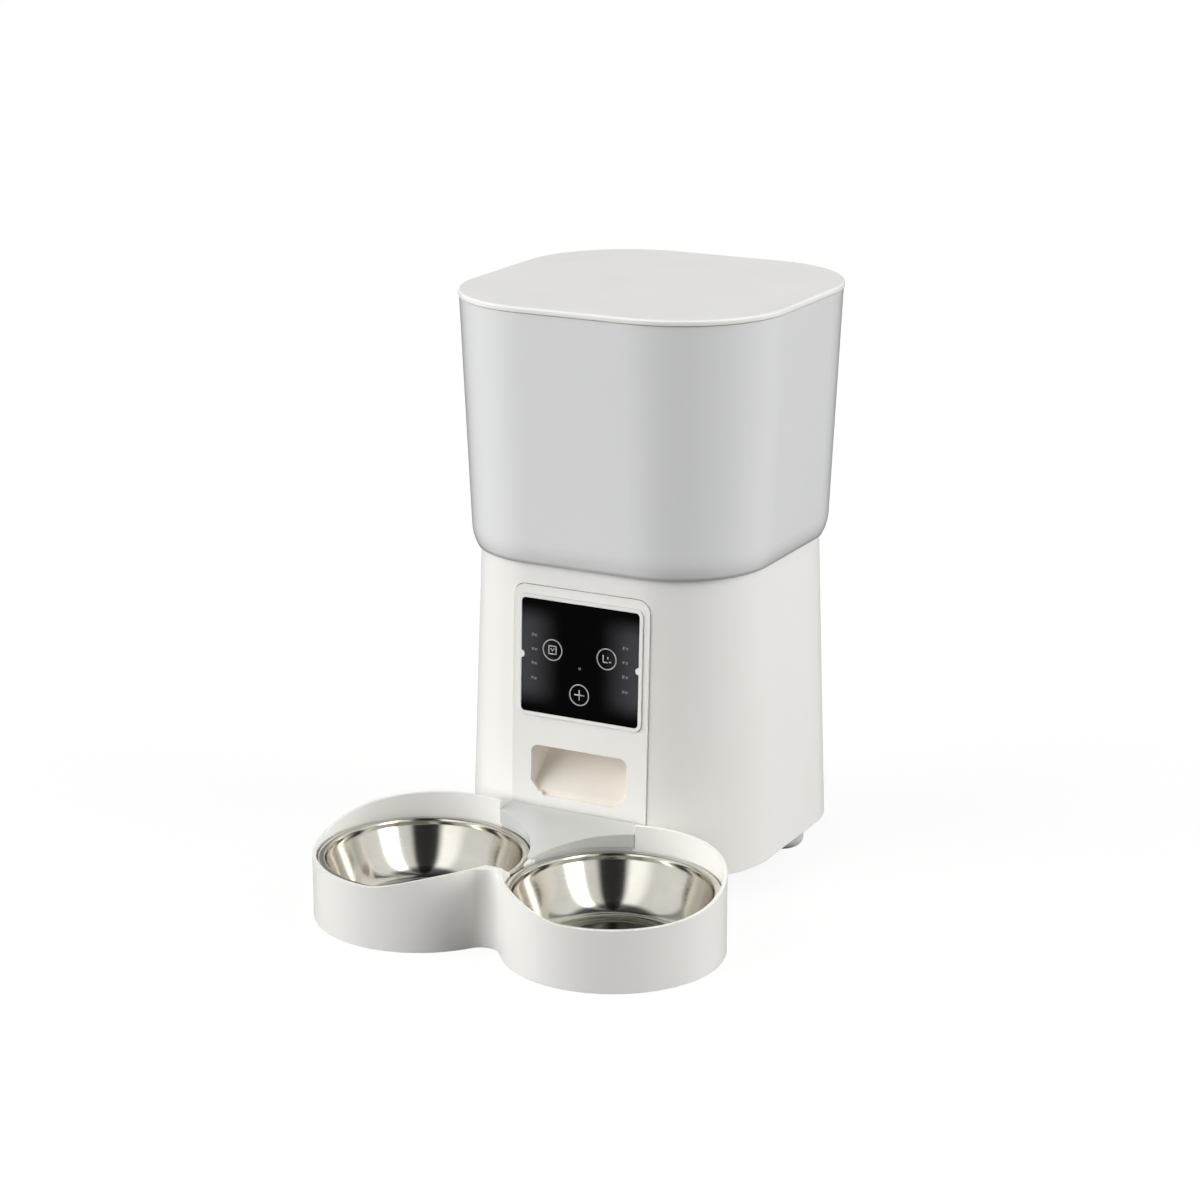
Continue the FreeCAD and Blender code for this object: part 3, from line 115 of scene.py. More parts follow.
@contextmanager
def editing(thing: bpy.types.Object, pick: str = "FACE") -> Iterator[None]:
    """Hold an object in edit mode with nothing selected.

    Args:
        thing: The mesh object to edit.
        pick: VERT, EDGE or FACE, the kind of element that is picked.
    """
    activate(thing)
    bpy.ops.object.mode_set(mode="EDIT")
    bpy.ops.mesh.select_mode(type=pick)
    bpy.ops.mesh.select_all(action="DESELECT")
    yield
    bpy.ops.object.mode_set(mode="OBJECT")


def settle(thing: bpy.types.Object, name: str, angle: float = 35) -> bpy.types.Object:
    """Name a finished piece, put its place into its mesh, and shade it by angle.

    Args:
        thing: The piece.
        name: Its name.
        angle: Edges sharper than this many degrees stay sharp.

    Returns:
        The piece.
    """
    activate(thing)
    bpy.ops.object.transform_apply(location=True, rotation=True, scale=True)
    with editing(thing):
        bpy.ops.mesh.select_all(action="SELECT")
        bpy.ops.mesh.remove_doubles(threshold=1e-6)
        bpy.ops.mesh.normals_make_consistent(inside=False)
    bpy.ops.object.shade_smooth_by_angle(angle=math.radians(angle))
    thing.name = thing.data.name = name
    return thing


def join(things: list[bpy.types.Object], name: str) -> bpy.types.Object:
    """Join several meshes into one piece.

    Args:
        things: The meshes.
        name: The piece's name.

    Returns:
        The piece.
    """
    activate(things[0])
    for thing in things:
        thing.select_set(True)
    bpy.ops.object.join()
    return settle(bpy.context.object, name)


def apply_bevel(thing: bpy.types.Object, width_mm: float, segments: int = 3,
                angle: float = 40) -> None:
    """Round a piece's sharp edges with an applied bevel modifier.

    Args:
        thing: The piece.
        width_mm: The bevel's width.
        segments: How many faces it has across.
        angle: Edges sharper than this many degrees are rounded.
    """
    activate(thing)
    bevel = thing.modifiers.new("edge", "BEVEL")
    bevel.width, bevel.segments = width_mm * MM, segments
    bevel.limit_method, bevel.angle_limit = "ANGLE", math.radians(angle)
    bpy.ops.object.modifier_apply(modifier=bevel.name)


# ------------------------------------------------------------------ finishes

def shader(name: str) -> tuple[bpy.types.Material, bpy.types.NodeTree, bpy.types.Node]:
    """Start a material.

    Args:
        name: Its name, which says what it is made of.

    Returns:
        The material, its tree, and its main shader, linked to the output.
    """
    made = bpy.data.materials.new(name)
    made.use_nodes = True
    tree = made.node_tree
    tree.nodes.clear()
    main = add_node(tree, "ShaderNodeBsdfPrincipled")
    add_node(tree, "ShaderNodeOutputMaterial", {"Surface": main.outputs[0]})
    return made, tree, main


def noise(tree: bpy.types.NodeTree, where: bpy.types.NodeSocket, size_mm: float,
          detail: float = 2) -> bpy.types.NodeSocket:
    """Add soft noise.

    Args:
        tree: The material's tree.
        where: The coordinates it follows.
        size_mm: How wide its blots are.
        detail: How many finer layers it has.

    Returns:
        Its value, mostly between 0.3 and 0.7.
    """
    return add_node(tree, "ShaderNodeTexNoise", {"Vector": where, "Scale": scale_for(size_mm),
                                                 "Detail": detail}).outputs[0]


def spread(tree: bpy.types.NodeTree, what: bpy.types.NodeSocket, low: float,
           high: float) -> bpy.types.NodeSocket:
    """Stretch noise to run between two numbers.

    Args:
        tree: The material's tree.
        what: The noise.
        low: What its lowest values become.
        high: What its highest values become.

    Returns:
        The stretched value.
    """
    return add_node(tree, "ShaderNodeMapRange", {0: what, 1: 0.3, 2: 0.7, 3: low,
                                                 4: high}).outputs[0]


def blend(tree: bpy.types.NodeTree, share: bpy.types.NodeSocket, first: object,
          second: object) -> bpy.types.NodeSocket:
    """Mix two colours, which are hex codes or sockets.

    Args:
        tree: The tree.
        share: How much of the second there is.
        first: The first colour.
        second: The second colour.

    Returns:
        The mixed colour.
    """
    sides = [linear(side) if isinstance(side, str) else side for side in (first, second)]
    mix = add_node(tree, "ShaderNodeMix", {0: share, 6: sides[0], 7: sides[1]}, data_type="RGBA")
    return mix.outputs[2]


def worn_edges(tree: bpy.types.NodeTree, radius_mm: float,
               full: float) -> tuple[bpy.types.NodeSocket, bpy.types.NodeSocket]:
    """Find the edges that hands rub.

    Args:
        tree: The material's tree.
        radius_mm: How far from the edge the rubbing reaches.
        full: The mask's value right on the edge.

    Returns:
        A mask that is 0 on flat faces, and a normal that rounds the edges.
    """
    soft = add_node(tree, "ShaderNodeBevel", {"Radius": radius_mm * MM}, samples=4).outputs[0]
    here = add_node(tree, "ShaderNodeNewGeometry").outputs["Normal"]
    match = add_node(tree, "ShaderNodeVectorMath", {0: soft, 1: here}, operation="DOT_PRODUCT")
    mask = add_node(tree, "ShaderNodeMapRange", {0: match.outputs["Value"], 1: 1.0, 2: 0.85,
                                                 3: 0.0, 4: full})
    return mask.outputs[0], soft


@dataclass(frozen=True)
class MouldedPlastic:
    """Injection-moulded plastic: a fine sparked grain, faint flow marks and rubbed edges.

    Sizes are in millimetres. The glow is painted light: emission that stands for light that thin
    pale walls pass on. The rim is painted shade, a darker colour that fades out between two levels.
    """

    name: str
    tint: str
    shade: str
    worn: str
    roughness: float
    grain_mm: float = 0.8
    grain_depth_mm: float = 0.012
    flow_mm: float = 60.0
    flow_stretch: float = 0.35
    handled_mm: float = 9.0
    rub_radius_mm: float = 0.5
    rub_strength: float = 0.6
    coat: float = 0.0
    ior: float = 1.52
    coat_roughness: float = 0.25
    rubbed: bool = True
    uneven: float = 0.12
    glow: float = 0.0
    rim: str = ""
    joint_shade_levels_mm: tuple[float, float] = (0.0, 0.0)

    def make(self) -> bpy.types.Material:
        """Return the material."""
        made, tree, main = shader(self.name)
        where = add_node(tree, "ShaderNodeTexCoord").outputs["Object"]
        drawn = add_node(tree, "ShaderNodeMapping",
                         {"Vector": where, "Scale": (1, 1, self.flow_stretch)})
        flow = spread(tree, noise(tree, drawn.outputs[0], self.flow_mm, 3), 0.0, 1.0)
        body = blend(tree, flow, self.tint, self.shade)
        # Painted shade: below a given level the colour darkens towards the rim colour.
        if self.rim:
            height = add_node(tree, "ShaderNodeSeparateXYZ", {0: where}).outputs["Z"]
            low, high = self.joint_shade_levels_mm
            share = add_node(tree, "ShaderNodeMapRange", {0: height, 1: low * MM, 2: high * MM,
                                                          3: 1.0, 4: 0.0},
                             interpolation_type="SMOOTHSTEP").outputs[0]
            body = blend(tree, share, body, self.rim)
        grain = noise(tree, where, self.grain_mm, 2)
        bump = add_node(tree, "ShaderNodeBump", {"Height": grain, "Strength": 0.5,
                                                 "Distance": self.grain_depth_mm * MM})
        if self.rubbed:
            rubbed, soft = worn_edges(tree, self.rub_radius_mm, self.rub_strength)
            body = blend(tree, rubbed, body, self.worn)
            tree.links.new(soft, bump.inputs["Normal"])
        tree.links.new(body, main.inputs["Base Color"])
        # Painted light: the glow makes the piece give off light of its own colour.
        main.inputs["Emission Color"].default_value = linear(self.tint)
        main.inputs["Emission Strength"].default_value = self.glow
        handled = noise(tree, where, self.handled_mm, 4)
        tree.links.new(spread(tree, handled, self.roughness * (1 - self.uneven),
                              self.roughness * (1 + self.uneven)), main.inputs["Roughness"])
        tree.links.new(bump.outputs[0], main.inputs["Normal"])
        main.inputs["IOR"].default_value = self.ior
        main.inputs["Coat Weight"].default_value = self.coat
        main.inputs["Coat Roughness"].default_value = self.coat_roughness
        return made


@dataclass(frozen=True)
class PrintedWindow:
    """Acrylic window, printed black behind, with a painted reflection that makes it paler towards
    its left and right edges.

    The painted reflection begins and ends at two distances from the middle, and fades out at the
    top and the bottom of a band. All are in millimetres.
    """

    name: str
    middle: str = "#020203"
    # The colour of the painted reflection at the sides.
    side: str = "#454548"
    inner_mm: float = 12.0
    outer_mm: float = 39.0
    band_mm: tuple[float, float] = (112.0, 180.0)
    fade_mm: float = 16.0
    smear_mm: float = 14.0
    gloss: float = 0.2

    def make(self) -> bpy.types.Material:
        """Return the material."""
        made, tree, main = shader(self.name)
        where = add_node(tree, "ShaderNodeTexCoord").outputs["Object"]
        axes = add_node(tree, "ShaderNodeSeparateXYZ", {0: where})
        across = add_node(tree, "ShaderNodeMath", {0: axes.outputs["X"]}, operation="ABSOLUTE")
        low, high = self.band_mm
        reflection_masks = [self.rise(tree, across.outputs[0], self.inner_mm, self.outer_mm),
                  self.rise(tree, axes.outputs["Z"], low, low + self.fade_mm),
                  self.rise(tree, axes.outputs["Z"], high, high - self.fade_mm)]
        share = reflection_masks[0]
        for other in reflection_masks[1:]:
            share = add_node(tree, "ShaderNodeMath", {0: share, 1: other},
                             operation="MULTIPLY").outputs[0]
        # Painted reflection: the sides are paler than the black middle.
        tree.links.new(blend(tree, share, self.middle, self.side), main.inputs["Base Color"])
        smears = noise(tree, where, self.smear_mm, 5)
        tree.links.new(spread(tree, smears, 0.06, 0.13), main.inputs["Roughness"])
        bump = add_node(tree, "ShaderNodeBump", {"Height": smears, "Strength": 0.1,
                                                 "Distance": 0.01 * MM,
                                                 "Normal": worn_edges(tree, 0.3, 0.5)[1]})
        tree.links.new(bump.outputs[0], main.inputs["Normal"])
        main.inputs["Specular IOR Level"].default_value = self.gloss
        return made

    def rise(self, tree: bpy.types.NodeTree, what: bpy.types.NodeSocket, start_mm: float,
             end_mm: float) -> bpy.types.NodeSocket:
        """Rise smoothly from 0 at one place to 1 at another.

        Args:
            tree: The material's tree.
            what: The coordinate to follow.
            start_mm: Where it is 0.
            end_mm: Where it is 1.

        Returns:
            The value.
        """
        return add_node(tree, "ShaderNodeMapRange",
                        {0: what, 1: start_mm * MM, 2: end_mm * MM, 3: 0.0, 4: 1.0},
                        interpolation_type="SMOOTHSTEP").outputs[0]


@dataclass(frozen=True)
class TurnedSteel:
    """Stainless steel with fine rings from a lathe or a polishing wheel about one axis."""

    name: str
    tint: str
    shade: str
    roughness: float
    ring_mm: float
    ring_depth_mm: float
    centre: tuple[float, float] = (0.0, 0.0)
    worn: str = "#F2F0EC"
    cloud_mm: float = 24.0

    def make(self) -> bpy.types.Material:
        """Return the material."""
        made, tree, main = shader(self.name)
        where = add_node(tree, "ShaderNodeTexCoord").outputs["Object"]
        moved = add_node(tree, "ShaderNodeMapping",
                         {"Vector": where, "Location": (-self.centre[0], -self.centre[1], 0)})
        flat = add_node(tree, "ShaderNodeVectorMath", {0: moved.outputs[0], 1: (1, 1, 0)},
                        operation="MULTIPLY")
        reach = add_node(tree, "ShaderNodeVectorMath", {0: flat.outputs[0]}, operation="LENGTH")
        rings = add_node(tree, "ShaderNodeTexNoise",
                         {"W": reach.outputs["Value"], "Scale": scale_for(self.ring_mm),
                          "Detail": 3.0}, noise_dimensions="1D").outputs[0]
        cloud = spread(tree, noise(tree, where, self.cloud_mm, 3), 0.0, 1.0)
        rubbed, soft = worn_edges(tree, 0.3, 0.5)
        body = blend(tree, cloud, self.tint, self.shade)
        tree.links.new(blend(tree, rubbed, body, self.worn), main.inputs["Base Color"])
        tree.links.new(spread(tree, rings, self.roughness * 0.7, self.roughness * 1.3),
                       main.inputs["Roughness"])
        bump = add_node(tree, "ShaderNodeBump", {"Height": rings, "Strength": 0.35,
                                                 "Distance": self.ring_depth_mm * MM,
                                                 "Normal": soft})
        tree.links.new(bump.outputs[0], main.inputs["Normal"])
        main.inputs["Metallic"].default_value = 1.0
        return made


@dataclass(frozen=True)
class CircuitLaminate:
    """Glass-fibre circuit board: green solder mask over raised copper tracks."""

    name: str
    mask: str = "#1C5B33"
    track: str = "#2B7A45"
    track_mm: float = 2.4

    def make(self) -> bpy.types.Material:
        """Return the material."""
        made, tree, main = shader(self.name)
        where = add_node(tree, "ShaderNodeTexCoord").outputs["Object"]
        tracks = add_node(tree, "ShaderNodeTexBrick",
                          {"Vector": where, "Scale": scale_for(self.track_mm) / 4,
                           "Mortar Size": 0.03, "Color1": (0, 0, 0, 1), "Color2": (0, 0, 0, 1),
                           "Mortar": (1, 1, 1, 1)}).outputs[0]
        weave = noise(tree, where, 0.5, 2)
        tree.links.new(blend(tree, tracks, self.mask, self.track), main.inputs["Base Color"])
        tree.links.new(spread(tree, weave, 0.28, 0.4), main.inputs["Roughness"])
        bump = add_node(tree, "ShaderNodeBump", {"Height": tracks, "Strength": 0.6,
                                                 "Distance": 0.05 * MM})
        tree.links.new(bump.outputs[0], main.inputs["Normal"])
        return made


@dataclass(frozen=True)
class WovenBag:
    """Drying bag of non-woven cloth with a crossed emboss."""

    name: str
    tint: str = "#E9E7E0"
    shade: str = "#CFCCC3"
    thread_mm: float = 1.2

    def make(self) -> bpy.types.Material:
        """Return the material."""
        made, tree, main = shader(self.name)
        where = add_node(tree, "ShaderNodeTexCoord").outputs["Object"]
        waves = [add_node(tree, "ShaderNodeTexWave", {"Vector": where, "Distortion": 0.4,
                                                      "Scale": scale_for(self.thread_mm) / 6.3},
                          bands_direction=way).outputs[1] for way in ("X", "Y")]
        cross = add_node(tree, "ShaderNodeMath", {0: waves[0], 1: waves[1]},
                         operation="MAXIMUM").outputs[0]
        tree.links.new(blend(tree, cross, self.shade, self.tint), main.inputs["Base Color"])
        tree.links.new(spread(tree, noise(tree, where, 2), 0.8, 0.95), main.inputs["Roughness"])
        bump = add_node(tree, "ShaderNodeBump", {"Height": cross, "Strength": 0.6,
                                                 "Distance": 0.2 * MM})
        tree.links.new(bump.outputs[0], main.inputs["Normal"])
        return made


def centre_of(node: str) -> tuple[float, float]:
    """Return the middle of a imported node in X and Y."""
    low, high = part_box(node)
    return (low.x + high.x) / 2, (low.y + high.y) / 2


class Finish(Enum):
    """The finishes, by the names of the record's slots."""

    # ABS, moulded in a lightly sparked tool: a soft satin sheen on warm white.
    white_shell = MouldedPlastic("abs_warm_white_satin", "#F5F4F0", "#F1F0EB", "#FCFCFA", 0.34,
                                 coat=0.15)
    # ABS, moulded matt: the shaded duct looks warm grey. Its glow is painted light, a little light
    # that its pale walls pass on.
    warm_chute = MouldedPlastic("abs_warm_grey_matt", "#E6E0D6", "#DDD6CB", "#EEE9E0", 0.55,
                                glow=0.14)
    # ABS, moulded glossier than the shell, so the ramp mirrors its surroundings softly.
    guide_plastic = MouldedPlastic("abs_ramp_gloss", "#CFD0CD", "#C8C9C6", "#F0F0EE", 0.2,
                                   coat=0.3)
    # Polypropylene, blown with a frosted skin: milky, with wide soft highlights. Its lowest few
    # millimetres carry painted shade, darker where the tank meets the housing.
    frosted_tank = MouldedPlastic("polypropylene_frosted", "#EEEEEF", "#EBECED", "#EDEEEF", 0.3,
                                  grain_mm=0.6, grain_depth_mm=0.004, flow_mm=140, coat=1.0,
                                  coat_roughness=0.13, ior=1.5, rubbed=False, uneven=0.04,
                                  rim="#BFC0C2", joint_shade_levels_mm=(204.5, 207.0))
    # Polypropylene, plain moulded inner pieces.
    inner_plastic = MouldedPlastic("polypropylene_natural", "#E8E8E4", "#DDDDD8", "#F3F3F0", 0.45)
    # Acrylic window, black printed behind: a deep gloss, with a painted reflection that pales its
    # left and right sides.
    display_glass = PrintedWindow("acrylic_back_printed")
    circuit_board = CircuitLaminate("laminate_green_mask")
    # Stainless steel, spun and buffed: mirror-like with faint rings.
    steel_polished = TurnedSteel("stainless_buffed", "#DAD6CF", "#CFCAC2", 0.09, 0.5, 0.002)
    steel_plain = TurnedSteel("steel_zinc_plated", "#C9C9C6", "#B5B5B1", 0.3, 0.3, 0.006)
    # Acetal gears and hubs: waxy and slightly yellow.
    nylon = MouldedPlastic("acetal_natural", "#EDEBDF", "#E3E0D2", "#F7F5EC", 0.38)
    # Silicone rubber, moulded matt.
    soft_rubber = MouldedPlastic("silicone_rubber_grey", "#CFCFCB", "#C2C2BE", "#DCDCD8", 0.7)
    # Shrink sleeve on the cells.
    cell_wrap = MouldedPlastic("pvc_shrink_sleeve", "#22242B", "#2C2F38", "#4A4D55", 0.25)
    # ABS, black with a coarse grain.
    black_plastic = MouldedPlastic("abs_black_matt", "#1B1B1C", "#252526", "#4A4A4B", 0.5,
                                   grain_depth_mm=0.03)
    bag_cloth = WovenBag("bag_nonwoven")

    def make(self) -> bpy.types.Material:
        """Return this finish's material, made once."""
        made = MADE.get(self.name)
        if made is None:
            made = MADE[self.name] = self.value.make()
        return made


MADE: dict[str, bpy.types.Material] = {}


def dress(thing: bpy.types.Object, made: bpy.types.Material, body: str) -> None:
    """Give a new piece its material and the body it rides on.

    Args:
        thing: The piece.
        made: Its material.
        body: The body it rides on.
    """
    thing.data.materials.clear()
    thing.data.materials.append(made)
    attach(thing, body)


# ------------------------------------------------------------------ key panel

@dataclass
class KeyPanel:
    """Printed key marks on the dark window, in the plane of the leaning front."""

    lens_wall: float = 2.0 * MM
    print_height: float = 0.1 * MM
    line: float = 0.8 * MM
    ring_radius: float = 6.5 * MM
    keys: tuple[tuple[float, float], ...] = ((-19 * MM, 151 * MM), (18.5 * MM, 150.5 * MM),
                                             (0.0, 125 * MM))
    edge_mm: float = 0.02
    column_x: float = 31.5 * MM
    rows: tuple[float, ...] = (159 * MM, 150 * MM, 141 * MM, 131.5 * MM)
    lamp: tuple[float, float] = (0.0, 141.7 * MM)
    lamp_radius: float = 0.6 * MM
    marks: list[bpy.types.Object] = field(default_factory=list)

    def bar(self, across: float, up: float, wide: float, tall: float, turn: float = 0) -> None:
        """Print one bar.

        Args:
            across: Its middle in X.
            up: Its middle in Z.
            wide: Its width.
            tall: Its height.
            turn: Its turn in the panel's plane, in degrees.
        """
        bpy.ops.mesh.primitive_cube_add(size=1, location=(across, 0, up),
                                        rotation=(0, math.radians(turn), 0),
                                        scale=(wide, self.print_height, tall))
        thing = bpy.context.object
        activate(thing)
        bpy.ops.object.transform_apply(location=True, rotation=True, scale=True)
        apply_bevel(thing, self.edge_mm, 2)
        self.marks.append(thing)

    def ring(self, across: float, up: float, radius: float) -> None:
        """Print one ring.

        Args:
            across: Its middle in X.
            up: Its middle in Z.
            radius: The radius of its middle line.
        """
        bpy.ops.mesh.primitive_torus_add(location=(across, 0, up), rotation=(math.pi / 2, 0, 0),
                                         major_radius=radius, minor_radius=self.line / 2,
                                         major_segments=72, minor_segments=8)
        thing = bpy.context.object
        activate(thing)
        bpy.ops.object.transform_apply(location=True, rotation=True, scale=True)
        flat = self.print_height / self.line
        thing.data.transform(Matrix.Diagonal((1, flat, 1, 1)))
        self.marks.append(thing)

    def record_glyph(self, across: float, up: float) -> None:
        """Print a square frame with two hands, for setting meals."""
        half = 2.5 * MM
        for side in (-1, 1):
            self.bar(across + side * half, up, self.line, 2 * half + self.line)
            self.bar(across, up + side * half, 2 * half + self.line, self.line)
        self.bar(across + 0.5 * MM, up + 0.2 * MM, self.line * 0.8, 2.6 * MM, 35)
        self.bar(across - 0.7 * MM, up + 0.3 * MM, self.line * 0.8, 2.0 * MM, -40)

    def corner_glyph(self, across: float, up: float) -> None:
        """Print a corner with two dots, for the clock."""
        self.bar(across - 2.4 * MM, up + 0.2 * MM, self.line, 4.6 * MM)
        self.bar(across - 0.8 * MM, up - 2.1 * MM, 3.4 * MM, self.line)
        self.bar(across + 0.8 * MM, up + 0.8 * MM, 0.9 * MM, 1.6 * MM)
        self.bar(across + 2.4 * MM, up - 1.7 * MM, 1.4 * MM, 0.8 * MM)

    def plus_glyph(self, across: float, up: float) -> None:
        """Print a plus, for a meal by hand."""
        self.bar(across, up, 7 * MM, self.line)
        self.bar(across, up, self.line, 6.6 * MM)

    def build(self) -> None:
        """Print the marks, lean them with the panel and join them by ink."""
        for spot, glyph in zip(self.keys, (self.record_glyph, self.corner_glyph, self.plus_glyph)):
            self.ring(*spot, self.ring_radius)
            glyph(*spot)
        bright = self.marks
        self.marks = []
        for side in (-1, 1):
            for row, level in enumerate(self.rows):
                middle = side * self.column_x
                self.bar(middle - 1.1 * MM, level, 1.9 * MM, 2.2 * MM - (row % 2) * 0.4 * MM)
                self.bar(middle + 1.1 * MM, level - 0.2 * MM, 1.7 * MM, 1.7 * MM)
        self.ring(*self.lamp, self.lamp_radius)
        for name, marks, ink in (("key_marks", bright, "#C6C6C3"),
                                 ("lamp_marks", self.marks, "#77777A")):
            thing = join(marks, name)
            self.lean(thing)
            dress(thing, MouldedPlastic(f"ink_{name}", ink, ink, ink, 0.5).make(),
                  "housing")
            LOG.info("%s: %d faces", name, len(thing.data.polygons))

    def lean(self, thing: bpy.types.Object) -> None:
        """Move marks drawn in the plane Y = 0 onto the window's leaning face.

        Args:
            thing: The marks, which are changed in place.
        """
        low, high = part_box("panel_lens")
        slope = (high.y - self.lens_wall - low.y) / (high.z - low.z)
        turn = math.atan(slope)
        shape = thing.data
        for vertex in shape.vertices:
            level, depth = vertex.co.z, vertex.co.y
            vertex.co.y = low.y + slope * (level - low.z) + depth / math.cos(turn)
        shape.update()


# ------------------------------------------------------------------ bowls

@dataclass
class SteelBowls:
    """Two spun bowls with a flat rolled rim, a sloping wall and a floor pressed with rings.

    The rim's profile is given as steps in from its edge and down from its top. The wall is one
    cubic curve, whose two pulls set how long it keeps its slope and how softly it meets the floor.
    """

    rim_radius: float = 64.5 * MM
    rim_level: float = 37.5 * MM
    wall_radius: float = 59.6 * MM
    wall_top: float = 33.0 * MM
    wall_lean: float = 0.35
    wall_pull: float = 16.0 * MM
    floor_radius: float = 38.0 * MM
    floor_pull: float = 10.0 * MM
    floor_level: float = 3.75 * MM
    gauge: float = 0.8 * MM
    wall_steps: int = 26
    segments: int = 144
    smooth_angle: float = 60.0
    rim_steps_mm: tuple[tuple[float, float], ...] = (
        (0.25, 1.7), (0.0, 1.15), (0.15, 0.6), (0.6, 0.2), (1.3, 0.0), (3.0, 0.05), (3.9, 0.35),
        (4.5, 0.95), (4.6, 2.2), (4.7, 3.6))
    # The floor's pressed rings: share of the floor's radius, and lift in millimetres.
    floor_rings: tuple[tuple[float, float], ...] = (
        (0.86, 0.0), (0.82, 0.25), (0.78, 0.0), (0.5, 0.0), (0.46, 0.2), (0.42, 0.0), (0.1, 0.0))

    def profile(self) -> list[tuple[float, float]]:
        """Return the inside's reach and level, from the rolled edge in to the middle."""
        points = [(self.rim_radius - inward * MM, self.rim_level - drop * MM)
                  for inward, drop in self.rim_steps_mm]
        start = Vector((self.wall_radius, self.wall_top))
        end = Vector((self.floor_radius, self.floor_level))
        pulls = (start - self.wall_pull * Vector((self.wall_lean, 1)),
                 end + self.floor_pull * Vector((1, 0)))
        for step in range(self.wall_steps + 1):
            part = step / self.wall_steps
            rest = 1 - part
            points.append(tuple(rest ** 3 * start + 3 * rest ** 2 * part * pulls[0]
                                + 3 * rest * part ** 2 * pulls[1] + part ** 3 * end))
        points += [(self.floor_radius * share, self.floor_level + lift * MM)
                   for share, lift in self.floor_rings]
        return points

    def spin(self, centre: tuple[float, float]) -> bpy.types.Object:
        """Draw one bowl's inside ring by ring, close its middle and give it its gauge.

        Args:
            centre: The bowl's middle in X and Y.

        Returns:
            The bowl.
        """
        points = self.profile()
        bpy.ops.mesh.primitive_circle_add(vertices=self.segments, radius=points[0][0],
                                          fill_type="NOTHING", location=(*centre, points[0][1]))
        thing = bpy.context.object
        with editing(thing, "EDGE"):
            bpy.ops.mesh.select_all(action="SELECT")
            for (reach, level), (last_reach, last_level) in zip(points[1:], points):
                share = reach / last_reach
                bpy.ops.mesh.extrude_region_move(
                    TRANSFORM_OT_translate={"value": (0, 0, level - last_level)})
                bpy.ops.transform.resize(value=(share, share, 1),
                                         center_override=(*centre, level))
            bpy.ops.mesh.edge_face_add()
        settle(thing, "bowl_blank", self.smooth_angle)
        floor = min(thing.data.polygons, key=lambda face: face.center.z)
        if floor.normal.z < 0:
            with editing(thing):
                bpy.ops.mesh.select_all(action="SELECT")
                bpy.ops.mesh.flip_normals()
        wall = thing.modifiers.new("gauge", "SOLIDIFY")
        wall.thickness, wall.offset = self.gauge, -1.0
        bpy.ops.object.modifier_apply(modifier=wall.name)
        bpy.ops.object.shade_smooth_by_angle(angle=math.radians(self.smooth_angle))
        return thing

    def build(self) -> None:
        """Spin one bowl, copy it, and dress each with rings about its own middle."""
        left, right = (centre_of(f"bowl_{side}") for side in ("left", "right"))
        first = self.spin(left)
        second = first.copy()
        second.data = first.data.copy()
        bpy.context.scene.collection.objects.link(second)
        second.data.transform(Matrix.Translation((right[0] - left[0], right[1] - left[1], 0)))
        for thing, side, centre in ((first, "left", left), (second, "right", right)):
            thing.name = thing.data.name = f"steel_bowl_{side}"
            # Stainless steel, spun and buffed: soft mirror images, and rings about its middle.
            made = TurnedSteel(f"stainless_buffed_{side}", "#D3D0C8", "#C8C4BA", 0.12, 0.5, 0.002,
                               centre).make()
            dress(thing, made, f"bowl_{side}")
            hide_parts(f"bowl_{side}")
            LOG.info("%s: %d faces", thing.name, len(thing.data.polygons))


# ------------------------------------------------------------------ food guide

@dataclass
class GuideLip:
    """Turned-down edge of the food guide, which follows the rim of each bowl."""

    reach: float = 65.3 * MM
    wall: float = 0.7 * MM
    low: float = 36.6 * MM
    high: float = 39.7 * MM
    first_angle: float = 107.0
    last_angle: float = 163.5
    steps: int = 40
    edge_mm: float = 0.15

    def build(self) -> None:
        """Sweep one lip about the right bowl, mirror it for the left one, and dress both."""
        middle = centre_of("bowl_right")
        first = math.radians(self.first_angle)
        bpy.ops.mesh.primitive_plane_add(size=1)
        thing = bpy.context.object
        corners = [(reach, level) for level in (self.low, self.high)
                   for reach in (self.reach, self.reach + self.wall)]
        for vertex, (reach, level) in zip(thing.data.vertices, corners):
            vertex.co = (middle[0] + reach * math.cos(first),
                         middle[1] + reach * math.sin(first), level)
        # Spin turns clockwise about +Z, so its angle is negative here.
        with editing(thing):
            bpy.ops.mesh.select_all(action="SELECT")
            bpy.ops.mesh.spin(steps=self.steps, center=(*middle, 0), axis=(0, 0, 1),
                              angle=math.radians(self.first_angle - self.last_angle))
        settle(thing, "guide_lip")
        apply_bevel(thing, self.edge_mm, 2)
        mirror = thing.modifiers.new("other_bowl", "MIRROR")
        mirror.use_axis = (True, False, False)
        bpy.ops.object.modifier_apply(modifier=mirror.name)
        settle(thing, "guide_lip")
        dress(thing, Finish["guide_plastic"].make(), "food_guide")
        LOG.info("%s: %d faces", thing.name, len(thing.data.polygons))


# ------------------------------------------------------------------ studio

